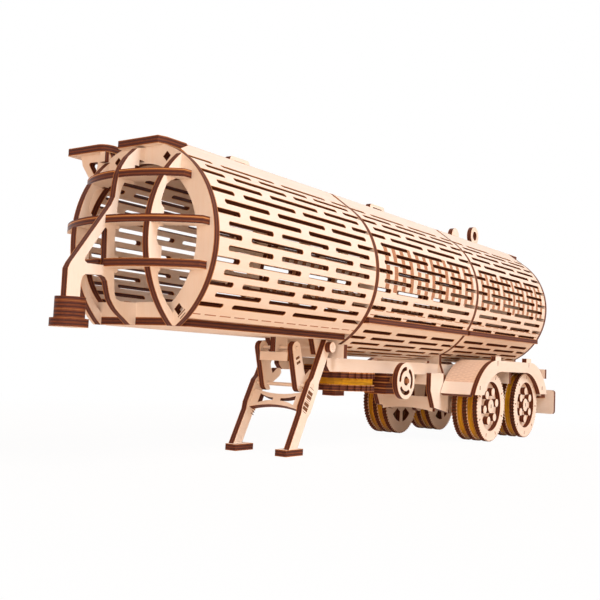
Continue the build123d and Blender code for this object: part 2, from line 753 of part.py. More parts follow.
def stand_rods():
    upper = rod_y(*STRUT_TOP, -STRUT_OUTER - 1, STRUT_OUTER + 1, ROD_R - SEAT_GAP)
    lower = rod_y(*STRUT_LOW, -LEG_OUTER, LEG_OUTER, ROD_R - SEAT_GAP)
    pivot = rod_y(PIVOT_STATION, PIVOT_LEVEL, -LEG_OUTER - PLY, LEG_OUTER + PLY, ROD_R - SEAT_GAP)
    return Compound(children=[upper, lower, pivot])


def stand_washers():
    plane_y = LEG_OUTER
    ring = Pos(PIVOT_STATION, PIVOT_LEVEL) * (Circle(WASHER_R) - Circle(ROD_R))
    return both_sides(along(ring, plane_y))


def stand_plank():
    half = STRUT_OUTER - PLY
    return across(window(-half, half, STRUT_TOP[1] - 6.6, STRUT_TOP[1] - 2.2), STRUT_TOP[0] + 3.0)


def stand_hangers():
    """Plates under the floor that hold the pivot rod and the struts' top rod."""
    top = FLOOR_UNDER
    outer = outline([(PIVOT_STATION - 4.5, top), (PIVOT_STATION + 8.0, top), (PIVOT_STATION + 5.0, top - 8.0),
                     (PIVOT_STATION - 4.5, top - 8.0)])
    outer -= Pos(PIVOT_STATION, PIVOT_LEVEL) * Circle(ROD_R)
    inner = outline([(STRUT_TOP[0] - 6.0, top), (STRUT_TOP[0] + 4.0, top), (STRUT_TOP[0] + 4.0, top - 7.4),
                     (STRUT_TOP[0] - 6.0, top - 7.4)])
    inner -= Pos(*STRUT_TOP) * Circle(ROD_R)
    pair = [along(outer, LEG_OUTER - 2 * PLY - SEAT_GAP), along(outer, -LEG_OUTER + PLY + SEAT_GAP)]
    return Compound(children=pair + [along(inner, -PLY / 2)])


# Gear under the tank
def spare_discs():
    plane = Plane(origin=(at(SPARE_STATION), 0, up(BEAM_UNDER)))
    hole = Circle(ROD_R)
    lower = extrude(plane.offset(-2 * PLY - SPARE_BAND) * (toothed_disc() - hole), PLY, dir=(0, 0, 1))
    core_face = RegularPolygon(CORE_R, BAND_SIDES) - hole
    core = extrude(plane.offset(-PLY - SPARE_BAND) * core_face, SPARE_BAND, dir=(0, 0, 1))
    upper = extrude(plane.offset(-PLY) * (toothed_disc() - hole), PLY, dir=(0, 0, 1))
    return lower + core + upper


def spare_band():
    plane = Plane(origin=(at(SPARE_STATION), 0, up(BEAM_UNDER) - PLY - SPARE_BAND + SEAT_GAP))
    return extrude(plane * band_ring(), SPARE_BAND - 2 * SEAT_GAP, dir=(0, 0, 1))


def spare_carrier():
    half = BEAM_OUTER - PLY
    board = flat(window(SPARE_STATION - 10, SPARE_STATION + 10, -half, half), BEAM_UNDER)
    plane = Plane(origin=(at(SPARE_STATION), 0, up(BEAM_UNDER) - 2 * PLY - SPARE_BAND - PLY))
    pin = extrude(plane * Circle(ROD_R - SEAT_GAP), 2 * PLY + SPARE_BAND + PLY + 1, dir=(0, 0, 1))
    block = extrude(plane * Rectangle(10, 8), PLY - SEAT_GAP, dir=(0, 0, 1))
    return board + pin + block


def winch_block():
    """Block of four boards that carries the hand wheel's shaft."""
    face = window(WINCH_INNER, WINCH_OUTER, HAND_WHEEL_LEVEL - 8.0, BEAM_UNDER)
    return across(face, SPARE_STATION - WHEEL_R - 0.9, 4 * PLY)


def hand_wheel():
    slot_mid = 7.0
    disc = Pos(HAND_WHEEL_STATION, HAND_WHEEL_LEVEL) * Circle(HAND_WHEEL_R)
    for turn in (90, 210, 330):
        arc = CenterArc((0, 0), slot_mid, turn - 42, 84)
        disc -= Pos(HAND_WHEEL_STATION, HAND_WHEEL_LEVEL) * trace(arc, 2.4)
    wheel_disc = along(disc, HAND_WHEEL_Y - PLY)
    return wheel_disc + rod_y(HAND_WHEEL_STATION, HAND_WHEEL_LEVEL, WINCH_OUTER, HAND_WHEEL_Y + 1.2, 1.6)


# Rear bumper
def bumper():
    depth = BUMPER_TOP - BUMPER_UNDER
    board = Pos(0, BUMPER_TOP - depth / 2) * RectangleRounded(2 * HALF_WIDTH, depth, 2.0)
    return across(board, BUMPER_STATION)


def bumper_shelf():
    return flat(window(BUMPER_STATION, BUMPER_STATION + 12.0, -38.0, 38.0), SHELF_LEVEL)


def rear_lamp_board():
    return across(window(-37.5, 37.5, BEAM_UNDER, BEAM_TOP), BUMPER_STATION)


def pair(left, right):
    """Two like pieces that share a name."""
    return Compound(children=[left, right])


def build():
    save("front_ring", front_ring())
    save("bulkhead_second", bulkhead(-BAY_PITCH, 24.6))
    save("bulkhead_third", cradle_bulkhead(-2 * BAY_PITCH))
    save("bulkhead_rear", rear_bulkhead())
    save("roof_deck", roof_deck())
    save("front_floor", front_floor())
    for bay, name in enumerate(("front", "middle", "rear")):
        skin = upper_skin(bay)
        save(f"skin_{name}_left", skin)
        save(f"skin_{name}_right", mirrored(skin))
        if bay > 0:
            save(f"belly_{name}", belly_skin(bay))
            save(f"rails_{name}", rails(bay))
    save("hatch_handles", Compound(children=[handle(*row[1:]) for row in HANDLES]))
    save("roof_fin", roof_fin())
    save("nose_rib_centre", centre_rib())
    save("nose_ribs_side", pair(side_rib(1), side_rib(-1)))
    save("nose_ribs_cross", Compound(children=[cross_rib(*row[1:]) for row in CROSS_RIBS]))
    save("kingpin", kingpin())
    save("side_platform", side_platform())
    save("platform_bracket", platform_bracket())
    save("chassis_beams", pair(beam(1), beam(-1)))
    save("axle_hangers", pair(suspension(1), suspension(-1)))
    save("fender_sides", pair(fender_side(1), fender_side(-1)))
    save("stand_legs", pair(leg(1), leg(-1)))
    for name, side in (("left", 1), ("right", -1)):
        save(f"fender_sheet_{name}", fender_sheet(side))
        for axle_name, station in (("front", FRONT_AXLE), ("rear", REAR_AXLE)):
            save(f"wheel_{axle_name}_{name}", wheel(station, side))
    for axle_name, station in (("front", FRONT_AXLE), ("rear", REAR_AXLE)):
        save(f"axle_{axle_name}", axle(station))
        save(f"tyre_bands_{axle_name}", pair(bands(station, 1), bands(station, -1)))
    save("cross_frame", cross_frame())
    save("guard_plates", guard_plates())
    save("apron", apron())
    save("fender_carrier", fender_carrier())
    save("stand_feet", stand_feet())
    save("stand_brace", stand_brace())
    save("stand_struts", struts())
    save("stand_rods", stand_rods())
    save("stand_washers", stand_washers())
    save("stand_plank", stand_plank())
    save("stand_hangers", stand_hangers())
    save("spare_discs", spare_discs())
    save("spare_band", spare_band())
    save("spare_carrier", spare_carrier())
    save("winch_block", winch_block())
    save("hand_wheel", hand_wheel())
    save("bumper", bumper())
    save("bumper_shelf", bumper_shelf())
    save("rear_lamp_board", rear_lamp_board())


build()
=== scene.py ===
import math

import bmesh
import bpy
from bpy.props import FloatProperty, FloatVectorProperty, PointerProperty
from mathutils import Matrix, Vector


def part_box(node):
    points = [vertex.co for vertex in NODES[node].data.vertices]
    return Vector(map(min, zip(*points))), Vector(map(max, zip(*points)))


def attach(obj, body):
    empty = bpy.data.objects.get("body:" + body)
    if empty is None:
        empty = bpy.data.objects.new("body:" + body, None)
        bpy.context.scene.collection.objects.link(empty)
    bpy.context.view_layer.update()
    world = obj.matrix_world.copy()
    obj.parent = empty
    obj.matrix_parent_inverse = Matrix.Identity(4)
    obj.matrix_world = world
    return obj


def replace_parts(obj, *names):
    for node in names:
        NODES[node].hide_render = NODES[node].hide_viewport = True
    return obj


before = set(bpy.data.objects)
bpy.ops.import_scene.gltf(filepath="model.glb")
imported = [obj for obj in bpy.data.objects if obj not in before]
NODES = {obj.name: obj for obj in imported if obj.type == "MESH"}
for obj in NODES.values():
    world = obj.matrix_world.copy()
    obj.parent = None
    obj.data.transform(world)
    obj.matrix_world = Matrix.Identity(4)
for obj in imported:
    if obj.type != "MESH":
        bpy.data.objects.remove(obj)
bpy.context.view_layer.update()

bl_info = {
    "name": "Toy Tanker Trailer",
    "version": (1, 0, 0),
    "blender": (4, 5, 0),
    "location": "3D View > Sidebar > Tanker",
    "description": "Dresses the packed plywood tanker trailer and sets up its studio",
    "category": "Object",
}

MM = 0.001


# Places read from the frame
DECK_DROP = 1.9 * MM
TANK_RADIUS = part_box("front_ring")[1].y
TANK_AXIS_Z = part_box("roof_deck")[0].z - (TANK_RADIUS - DECK_DROP)
RING_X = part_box("front_ring")[1].x
PLY = RING_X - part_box("front_ring")[0].x
PLY_MM = PLY / MM
SHEET_TOP_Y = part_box("skin_middle_left")[0].y
SHOULDER_ANGLE = math.radians(36.0)
LOWEST_ROW = math.radians(127.1)
SHOULDER_ARC = TANK_RADIUS * SHOULDER_ANGLE
SHEET_TOP_RUN = TANK_RADIUS * math.sin(SHOULDER_ANGLE) - SHEET_TOP_Y
SHEET_TOP_ARC = SHOULDER_ARC - SHEET_TOP_RUN / math.cos(SHOULDER_ANGLE)


# Settings
class TankerSizes(bpy.types.PropertyGroup):
    """Sizes that a user would change"""

    slot_width: FloatProperty(
        name="Slot Width", description="Width of a slot in the tank's skin",
        default=2.2 * MM, min=0.5 * MM, max=4 * MM, unit="LENGTH", subtype="DISTANCE")
    slot_web: FloatProperty(
        name="Slot Web", description="Wood left between two slots of one row",
        default=6.0 * MM, min=1 * MM, max=20 * MM, unit="LENGTH", subtype="DISTANCE")
    row_pitch: FloatProperty(
        name="Row Pitch", description="Turn round the tank from one row of slots to the next",
        default=math.radians(6.66), min=0.03, max=0.5, unit="ROTATION", subtype="ANGLE")
    scorch: FloatProperty(
        name="Scorch Line", description="Width of the burnt line along a laser cut",
        default=0.16 * MM, min=0.0, max=1 * MM, unit="LENGTH", subtype="DISTANCE")


class TankerColours(bpy.types.PropertyGroup):
    """Colours that a user would change"""

    birch: FloatVectorProperty(
        name="Birch Face", description="Plywood's face veneer",
        default=(0.91, 0.79, 0.69), min=0.0, max=1.0, subtype="COLOR")
    birch_dark: FloatVectorProperty(
        name="Birch Grain", description="Darker streaks in the face veneer",
        default=(0.87, 0.70, 0.56), min=0.0, max=1.0, subtype="COLOR")
    burnt: FloatVectorProperty(
        name="Burnt Edge", description="Laser-cut edge of the outer plies",
        default=(0.27, 0.066, 0.019), min=0.0, max=1.0, subtype="COLOR")
    burnt_core: FloatVectorProperty(
        name="Burnt Core", description="Laser-cut edge of the middle ply",
        default=(0.045, 0.010, 0.006), min=0.0, max=1.0, subtype="COLOR")
    scorched: FloatVectorProperty(
        name="Scorch Line", description="Thin line where a face meets a cut",
        default=(0.74, 0.33, 0.10), min=0.0, max=1.0, subtype="COLOR")
    band: FloatVectorProperty(
        name="Rubber Band", description="Yellow rubber bands",
        default=(0.62, 0.29, 0.004), min=0.0, max=1.0, subtype="COLOR")
    engraved: FloatVectorProperty(
        name="Engraving", description="Wood engraved by the laser",
        default=(0.48, 0.17, 0.055), min=0.0, max=1.0, subtype="COLOR")
    floor: FloatVectorProperty(
        name="Floor", description="Studio floor",
        default=(0.98, 0.80, 0.64), min=0.0, max=1.0, subtype="COLOR")


class TankerSettings(bpy.types.PropertyGroup):
    """Everything that the panel shows"""

    sizes: PointerProperty(type=TankerSizes)
    colours: PointerProperty(type=TankerColours)


def settings():
    return bpy.context.scene.tanker


# Node materials
NOISE_ROUGHNESS = 0.6


class NodeSheet:
    """Short calls for building the nodes of a material or a world."""

    def __init__(self, owner):
        owner.use_nodes = True
        self.nodes = owner.node_tree.nodes
        self.links = owner.node_tree.links

    def wire(self, source, target):
        self.links.new(source, target)

    def add(self, kind, inputs=(), **values):
        """A new node, its inputs given by name or number, each as a value or as a link."""
        node = self.nodes.new(kind)
        for key, value in values.items():
            setattr(node, key, value)
        for key, value in dict(inputs).items():
            if isinstance(value, bpy.types.NodeSocket):
                self.wire(value, node.inputs[key])
            else:
                node.inputs[key].default_value = value
        return node

    def math(self, operation, *values):
        return self.add("ShaderNodeMath", enumerate(values), operation=operation).outputs[0]

    def product(self, *values):
        result = values[0]
        for value in values[1:]:
            result = self.math("MULTIPLY", result, value)
        return result

    def fraction(self, value, pitch):
        """Share of the way through one pitch of a row."""
        return self.math("FRACT", self.math("DIVIDE", value, pitch))

    def inside(self, value, low, high):
        """1 where the value lies between two limits."""
        return self.product(self.math("GREATER_THAN", value, low), self.math("LESS_THAN", value, high))

    def split(self, vector):
        """X, Y and Z of a vector, by name."""
        return self.add("ShaderNodeSeparateXYZ", {0: vector}).outputs

    def vector(self, operation, *values):
        node = self.add("ShaderNodeVectorMath", enumerate(values), operation=operation)
        return node.outputs["Value" if operation in ("DOT_PRODUCT", "LENGTH") else "Vector"]

    def mix(self, share, low, high):
        """Colour between two others, each a link or three values."""
        pair = [value if isinstance(value, bpy.types.NodeSocket) else (*value, 1.0) for value in (low, high)]
        return self.add("ShaderNodeMix", {0: share, 6: pair[0], 7: pair[1]}, data_type="RGBA").outputs[2]

    def ramp(self, value, low, high):
        """0 below low and 1 above high, with a straight slope between."""
        inputs = {"Value": value, "From Min": low, "From Max": high}
        return self.add("ShaderNodeMapRange", inputs).outputs["Result"]

    def noise(self, place, scale, detail):
        inputs = {"Vector": place, "Scale": scale, "Detail": detail, "Roughness": NOISE_ROUGHNESS}
        return self.add("ShaderNodeTexNoise", inputs).outputs["Fac"]

    def patchy(self, place, scale, detail, low, high):
        """Noise that rises from 0 to 1 between two levels."""
        return self.ramp(self.noise(place, scale, detail), low, high)

    def stretched(self, place, scale):
        return self.add("ShaderNodeMapping", {"Vector": place, "Scale": scale}).outputs["Vector"]

    def white(self, kind):
        """White shader of a kind, and 1 for the camera's rays and for those that mirror or pass through."""
        path = self.add("ShaderNodeLightPath").outputs
        seen = path["Is Camera Ray"]
        for ray in ("Is Glossy Ray", "Is Transmission Ray"):
            seen = self.math("MAXIMUM", seen, path[ray])
        return seen, self.add(kind, {"Color": (1.0, 1.0, 1.0, 1.0), "Strength": 1.0}).outputs[0]

    def show(self, share, lit, white, output):
        """Shows the lit shader, and the white one by a share."""
        mixed = self.add("ShaderNodeMixShader", enumerate((share, lit, white)))
        self.wire(mixed.outputs[0], self.nodes[output].inputs["Surface"])


class Surface(NodeSheet):
    """One material's nodes."""

    def __init__(self, name):
        self.material = bpy.data.materials.new(name)
        super().__init__(self.material)
        self.shader = self.nodes["Principled BSDF"]
        coordinates = self.add("ShaderNodeTexCoord")
        self.place = coordinates.outputs["Object"]
        self.normal = coordinates.outputs["Normal"]

    def bump(self, height, strength, distance):
        node = self.add("ShaderNodeBump", {"Height": height, "Strength": strength, "Distance": distance})
        self.wire(node.outputs["Normal"], self.shader.inputs["Normal"])

    def finish(self, colour, roughness, specular=0.5):
        self.wire(colour, self.shader.inputs["Base Color"])
        self.shader.inputs["Roughness"].default_value = roughness
        self.shader.inputs["Specular IOR Level"].default_value = specular
        return self.material


def paint(name, share=1.0):
    """A colour of the settings, darker or lighter by a share."""
    return tuple(share * c for c in getattr(settings().colours, name))


def midway(first, second):
    """The colour midway between two of the settings."""
    return tuple(0.5 * a + 0.5 * b for a, b in zip(paint(first), paint(second)))


# Wood
FACING = {"X": (1.0, 0.0, 0.0), "Y": (0.0, 1.0, 0.0), "Z": (0.0, 0.0, 1.0)}
GRAIN_SCALE = {"X": (0.08, 1.0, 1.0), "Y": (1.0, 0.08, 1.0), "Z": (1.0, 1.0, 0.08)}
# Patchy noise: scale, detail, and the levels between which it rises
STREAKS = (260.0, 4.0, 0.42, 0.68)
FIBRES = (2400.0, 2.0, 0.45, 0.75)
PATCHES = (22.0, 2.0, 0.4, 0.7)
BURNT_MOTTLE = (900.0, 4.0, 0.35, 0.72)
ENGRAVED_MOTTLE = (1400.0, 3.0, 0.35, 0.7)
MARK_MOTTLE = (1200.0, 3.0, 0.3, 0.7)
SCORCH_PATCHES = (700.0, 2.0, 0.3, 0.7)
# Patches on a wheel's recess floor: partly burnt wood, partly painted shade
RECESS_BURN_AND_SHADE = (260.0, 3.0, 0.3, 0.7)
HINGE_FADE = (300.0, 2.0, 0.3, 0.65)
# Shares of one colour in another
STREAK_SHARE = 0.34
FIBRE_SHARE = 0.30
PATCH_SHARE = 0.25
ENGRAVED_SHARE = 0.9
RECESS_SHARE = 0.25
ROD_SHARE = 0.35
FACE_ROUGHNESS = 0.62
FACE_SPECULAR = 0.25
EDGE_ROUGHNESS = 0.75
SCORCH_ROUGHNESS = 0.7
MARK_ROUGHNESS = 0.8
HINGE_ROUGHNESS = 0.65
SMOOTH_ROUGHNESS = 0.55
EDGE_SPECULAR = 0.2
# Bumps: strength and height
FIBRE_BUMP = (0.12, 0.05 * MM)
ROD_BUMP = (0.2, 0.05 * MM)
RUBBER_BUMP = (0.15, 0.05 * MM)
# Cosines between a surface and its board's faces: below the first it is an edge, above the second a face
EDGE_TO_FACE = (0.7, 0.8)


def veneer_colour(sheet, grain):
    """Face colour with soft streaks and fine fibres along the grain, and the fibres alone."""
    along = sheet.stretched(sheet.place, GRAIN_SCALE[grain])
    streaks = sheet.patchy(along, *STREAKS)
    fibres = sheet.patchy(along, *FIBRES)
    patches = sheet.patchy(sheet.place, *PATCHES)
    amount = sheet.math("ADD", sheet.product(streaks, STREAK_SHARE), sheet.product(fibres, FIBRE_SHARE))
    amount = sheet.math("ADD", amount, sheet.product(patches, PATCH_SHARE))
    return sheet.mix(amount, paint("birch"), paint("birch_dark")), fibres


# Bands of a burnt edge, as distances from the middle of the board in shares of its depth
GLUE_START = (0.10, 0.17)
GLUE_END = (0.31, 0.38)
LINE_BAND = (0.415, 0.47)
LINE_SHARE = 0.8
KINGPIN_LINE_SHARE = 0.2
WAVE_NOISE = (160.0, 2.0)
WAVE_HEIGHT = 0.08
CORE_LEAST = 0.30
OUTER_DARK = 0.45
CORE_PALE = 1.9


def burnt_colour(sheet, depth, grain, line_share=LINE_SHARE):
    """Laser-cut edge: dark bands at the glue, mottled, with a paler line at each face. depth runs 0 to 1."""
    middle = sheet.math("ABSOLUTE", sheet.math("SUBTRACT", depth, 0.5))
    wavy = sheet.math("ADD", middle, sheet.product(sheet.noise(sheet.place, *WAVE_NOISE), WAVE_HEIGHT))
    before_end = sheet.math("SUBTRACT", 1.0, sheet.ramp(wavy, *GLUE_END))
    band = sheet.product(sheet.ramp(wavy, *GLUE_START), before_end)
    core = sheet.math("MAXIMUM", band, CORE_LEAST)
    along = sheet.stretched(sheet.place, GRAIN_SCALE[grain])
    mottle = sheet.patchy(along, *BURNT_MOTTLE)
    outer = sheet.mix(mottle, paint("burnt"), paint("burnt", OUTER_DARK))
    inner = sheet.mix(mottle, paint("burnt_core"), paint("burnt_core", CORE_PALE))
    line = sheet.product(sheet.ramp(middle, *LINE_BAND), line_share)
    return sheet.mix(line, sheet.mix(core, outer, inner), paint("scorched"))


# Marks on the fender plates: station, level, length and height
FENDER_MARKS = (
    (-281.1, -41.6, 0.8, 3.0),
    (-337.4, -41.6, 0.8, 3.0),
    (-253.6, -57.6, 1.2, 2.6),
    (-365.4, -57.6, 1.2, 2.6),
)
# The two browns that mottle a mark, as shares of its own shade
MARK_CONTRAST = (1.2, 0.8)
# How dark the small marks are, as a share of the engraved colour
MARK_SHADE = 0.6
BRAND_SHADE = 0.34
# Nearly black: the burnt dash on an axle's end, and painted shade in a wheel's notch floors and behind its
# spoke windows
SOOT_AND_PAINTED_SHADE_SHARE = 0.16


def fender_marks(sheet):
    """1 on the marks of the fender plates."""
    place = sheet.split(sheet.place)
    amount = 0.0
    for station, level, length, height in FENDER_MARKS:
        x = RING_X + station * MM
        z = TANK_AXIS_Z + level * MM
        along = sheet.inside(place["X"], x - length * MM / 2, x + length * MM / 2)
        up = sheet.inside(place["Z"], z - height * MM / 2, z + height * MM / 2)
        amount = sheet.math("MAXIMUM", amount, sheet.product(along, up))
    return amount


def plywood(name, facing, offset, grain="X", both_sides=False, line_share=LINE_SHARE, marks=None):
    """Plywood whose boards lie square to the facing direction, their low face at the offset along it."""
    sheet = Surface(name)
    facing = tuple(Vector(facing).normalized())
    across = sheet.vector("DOT_PRODUCT", sheet.place, facing)
    if both_sides:
        across = sheet.math("ABSOLUTE", across)
    depth = sheet.fraction(sheet.math("SUBTRACT", across, offset), PLY)
    square = sheet.math("ABSOLUTE", sheet.vector("DOT_PRODUCT", sheet.normal, facing))
    face, fibres = veneer_colour(sheet, grain)
    if marks:
        face = sheet.mix(marks(sheet), face, paint("engraved", BRAND_SHADE))
    edge = burnt_colour(sheet, depth, grain, line_share)
    sheet.bump(fibres, *FIBRE_BUMP)
    colour = sheet.mix(sheet.ramp(square, *EDGE_TO_FACE), edge, face)
    return sheet.finish(colour, FACE_ROUGHNESS, FACE_SPECULAR)


# Plain upright bars engraved on a bay: front and rear station
BARS = {"middle": (-131.0, -246.0), "rear": (-254.0, -369.0)}
BAR_COUNT = 13
BAR_SHARE = 0.45
BAR_TURNS = (math.radians(66.0), math.radians(101.0))
# Dashed lines engraved along a bay: turn from the top, dash and gap
SIDE_DASHES = ((115.6, 9.0, 3.0), (119.4, 5.0, 2.0))
DASHES = {"front": ((134.3, 7.0, 2.4),), "middle": SIDE_DASHES, "rear": SIDE_DASHES, "belly": ()}
DASH_HALF = 0.28 * MM


def engraving(sheet, bay):
    """1 where a bay's face is engraved. The turn from the top of the tank is the same on both sides."""
    place = sheet.split(sheet.place)
    height = sheet.math("SUBTRACT", place["Z"], TANK_AXIS_Z)
    turn = sheet.math("ARCTAN2", sheet.math("ABSOLUTE", place["Y"]), height)
    reach = DASH_HALF / TANK_RADIUS
    amount = 0.0
    for line, dash, gap in DASHES[bay]:
        on_line = sheet.inside(turn, math.radians(line) - reach, math.radians(line) + reach)
        share = sheet.fraction(place["X"], (dash + gap) * MM)
        dashed = sheet.product(on_line, sheet.math("LESS_THAN", share, dash / (dash + gap)))
        amount = sheet.math("MAXIMUM", amount, dashed)
    if bay in BARS:
        end, start = (RING_X + station * MM for station in BARS[bay])
        share = sheet.fraction(sheet.math("SUBTRACT", place["X"], start), (end - start) / BAR_COUNT)
        bar = sheet.product(sheet.math("LESS_THAN", share, BAR_SHARE),
                            sheet.inside(place["X"], start, end), sheet.inside(turn, *BAR_TURNS))
        amount = sheet.math("MAXIMUM", amount, bar)
    return amount


def veneer(name):
    """Face veneer of a rolled sheet, with the engraving of its bay, which its name ends with."""
    sheet = Surface(name)
    bay = name.removeprefix("skin_")
    face, fibres = veneer_colour(sheet, "X")
    if DASHES[bay]:
        along = sheet.stretched(sheet.place, GRAIN_SCALE["X"])
        mottle = sheet.patchy(along, *ENGRAVED_MOTTLE)
        burnt = sheet.mix(mottle, paint("engraved"), paint("engraved", MARK_SHADE))
        face = sheet.mix(sheet.product(engraving(sheet, bay), ENGRAVED_SHARE), face, burnt)
    sheet.bump(fibres, *FIBRE_BUMP)
    return sheet.finish(face, FACE_ROUGHNESS, FACE_SPECULAR)


def rolled_edge(name):
    """Burnt edge of a sheet rolled round the tank's axis."""
    sheet = Surface(name)
    from_axis = sheet.vector("SUBTRACT", sheet.place, (0.0, 0.0, TANK_AXIS_Z))
    radius = sheet.vector("LENGTH", sheet.vector("MULTIPLY", from_axis, (0.0, 1.0, 1.0)))
    depth = sheet.math("DIVIDE", sheet.math("SUBTRACT", TANK_RADIUS, radius), PLY)
    return sheet.finish(burnt_colour(sheet, depth, "X"), EDGE_ROUGHNESS, EDGE_SPECULAR)


def scorch_line(name):
    """Thin burnt line on a face beside a cut."""
    sheet = Surface(name)
    patches = sheet.patchy(sheet.place, *SCORCH_PATCHES)
    colour = sheet.mix(patches, paint("scorched"), midway("scorched", "birch_dark"))
    return sheet.finish(colour, SCORCH_ROUGHNESS)


# Wheel edges are measured from just under their inner face
FACE_SLACK = 0.001 * MM


def wheel_tread(name):
    """Burnt edges of a wheel's three discs, whose plies lie square to Y."""
    sheet = Surface(name)
    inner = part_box("wheel_front_left")[0].y - FACE_SLACK
    aside = sheet.math("SUBTRACT", sheet.math("ABSOLUTE", sheet.split(sheet.place)["Y"]), inner)
    depth = sheet.product(sheet.fraction(aside, PLY + BAND_GAP), (PLY + BAND_GAP) / PLY)
    return sheet.finish(burnt_colour(sheet, depth, "X"), EDGE_ROUGHNESS, EDGE_SPECULAR)


def recess_wood(name):
    """Light floor behind a wheel's rim, with patches of scorched brown: partly burnt wood, partly painted
    shade.
    """
    sheet = Surface(name)
    face, _ = veneer_colour(sheet, "X")
    burn_and_shade = sheet.product(sheet.patchy(sheet.place, *RECESS_BURN_AND_SHADE), RECESS_SHARE)
    return sheet.finish(sheet.mix(burn_and_shade, face, paint("scorched")), EDGE_ROUGHNESS)


def engraved_mark(name, shade):
    """Brown of a small engraved mark, or the painted shade of a wheel's notch floors and of its core behind
    the spoke windows, as a share of the engraved colour.
    """
    sheet = Surface(name)
    mottle = sheet.patchy(sheet.place, *MARK_MOTTLE)
    pale, dark = (paint("engraved", share * shade) for share in MARK_CONTRAST)
    return sheet.finish(sheet.mix(mottle, pale, dark), MARK_ROUGHNESS)


# Cuts that let a fender sheet bend, and the plain strip at each foot
HINGE_ROW = 1.5 * MM
HINGE_DASH = 5.6 * MM
HINGE_CUT = 0.74
HINGE_BAND = (0.3, 0.7)
HINGE_LEAST = 0.45
HINGE_BUMP = (0.5, 0.15 * MM)
PLAIN_FOOT = 9.0 * MM
# Share of scorched brown painted over the bent part of a fender sheet, as painted shade
FENDER_PAINTED_SHADE = 0.42


def flat_drawing(sheet):
    """Place in the flat drawing of a fender sheet."""
    return sheet.split(sheet.add("ShaderNodeUVMap", uv_map="sheet").outputs["UV"])


def hinge_wood(name):
    """Bent sheet: fine staggered cuts across it let it bend, apart from a plain strip at each foot."""
    sheet = Surface(name)
    flat = flat_drawing(sheet)
    row = sheet.math("DIVIDE", flat["X"], HINGE_ROW)
    odd = sheet.math("DIVIDE", sheet.math("MODULO", sheet.math("FLOOR", row), 2.0), 2.0)
    along = sheet.math("FRACT", sheet.math("ADD", sheet.math("DIVIDE", flat["Y"], HINGE_DASH), odd))
    in_row = sheet.inside(sheet.math("FRACT", row), *HINGE_BAND)
    bent = sheet.inside(flat["X"], PLAIN_FOOT, fender_arc() - PLAIN_FOOT)
    cut = sheet.product(in_row, sheet.math("LESS_THAN", along, HINGE_CUT), bent)
    face, fibres = veneer_colour(sheet, "Y")
    fade = sheet.patchy(sheet.place, *HINGE_FADE)
    # Painted shade: the bent part, between the plain feet, is darkened towards scorched brown
    shaded_face = sheet.mix(sheet.product(bent, FENDER_PAINTED_SHADE), face, paint("scorched"))
    shown = sheet.product(cut, sheet.math("ADD", HINGE_LEAST, sheet.product(fade, 0.5)))
    sheet.bump(sheet.math("SUBTRACT", fibres, cut), *HINGE_BUMP)
    return sheet.finish(sheet.mix(shown, shaded_face, midway("birch_dark", "engraved")), HINGE_ROUGHNESS)


def flat_edge(name):
    """Burnt edge of a sheet whose thickness isn't tied to one direction."""
    sheet = Surface(name)
    return sheet.finish(burnt_colour(sheet, flat_drawing(sheet)["Y"], "Y"), EDGE_ROUGHNESS)


def rod_wood(name):
    """Turned birch rod, its grain along Y."""
    sheet = Surface(name)
    face, fibres = veneer_colour(sheet, "Y")
    sheet.bump(fibres, *ROD_BUMP)
    return sheet.finish(sheet.mix(ROD_SHARE, face, paint("birch_dark")), SMOOTH_ROUGHNESS)


# Strands of the bands run across this stretch: along Y on the wheels, along Z on the spare
STRANDS = {"Y": (60.0, 900.0, 60.0), "Z": (60.0, 60.0, 900.0)}
STRAND_NOISE = (1.0, 3.0, 0.38, 0.62)
STRAND_DARK = 0.55
RUBBER_GRAIN = (1500.0, 2.0)


def rubber(name, axis):
    """Yellow rubber band wound in strands."""
    sheet = Surface(name)
    strands = sheet.patchy(sheet.stretched(sheet.place, STRANDS[axis]), *STRAND_NOISE)
    sheet.bump(sheet.noise(sheet.place, *RUBBER_GRAIN), *RUBBER_BUMP)
    colour = sheet.mix(strands, paint("band"), paint("band", STRAND_DARK))
    return sheet.finish(colour, SMOOTH_ROUGHNESS, EDGE_SPECULAR)


MAKERS = {
    "skin_front": veneer,
    "skin_middle": veneer,
    "skin_rear": veneer,
    "skin_belly": veneer,
    "skin_edge": rolled_edge,
    "scorch_line": scorch_line,
    "wheel_face": lambda name: plywood(name, FACING["Y"], 0.0),
    "wheel_tread": wheel_tread,
    "recess": recess_wood,
    "fender_hinge": hinge_wood,
    "fender_edge": flat_edge,
    "mark": lambda name: engraved_mark(name, MARK_SHADE),
    "brand": lambda name: engraved_mark(name, BRAND_SHADE),
    "soot": lambda name: engraved_mark(name, SOOT_AND_PAINTED_SHADE_SHARE),
}
_made = {}


def piece_material(name):
    """A named material, made once."""
    if name not in _made:
        _made[name] = MAKERS[name](name)
    return _made[name]


# Drawing planes of boards square to Y and to X
BESIDE = Matrix(((1.0, 0.0, 0.0), (0.0, 0.0, 1.0), (0.0, 1.0, 0.0))).to_4x4()
ACROSS = Matrix(((0.0, 0.0, 1.0), (1.0, 0.0, 0.0), (0.0, 1.0, 0.0))).to_4x4()


# Mesh helpers
def link(name, data):
    """A new object in the scene."""
    made = bpy.data.objects.new(name, data)
    bpy.context.scene.collection.objects.link(made)
    return made


def mesh_of(name, bm):
    """Turns a bmesh into a mesh."""
    mesh = bpy.data.meshes.new(name)
    bm.to_mesh(mesh)
    bm.free()
    return mesh


def point_at(centre, radius, degrees):
    """Point of a circle."""
    turn = math.radians(degrees)
    return centre[0] + radius * math.cos(turn), centre[1] + radius * math.sin(turn)


def plate(bm, size, place):
    """Adds a flat box."""
    bmesh.ops.create_cube(bm, size=1.0, matrix=place @ Matrix.Diagonal((*size, 1.0)))


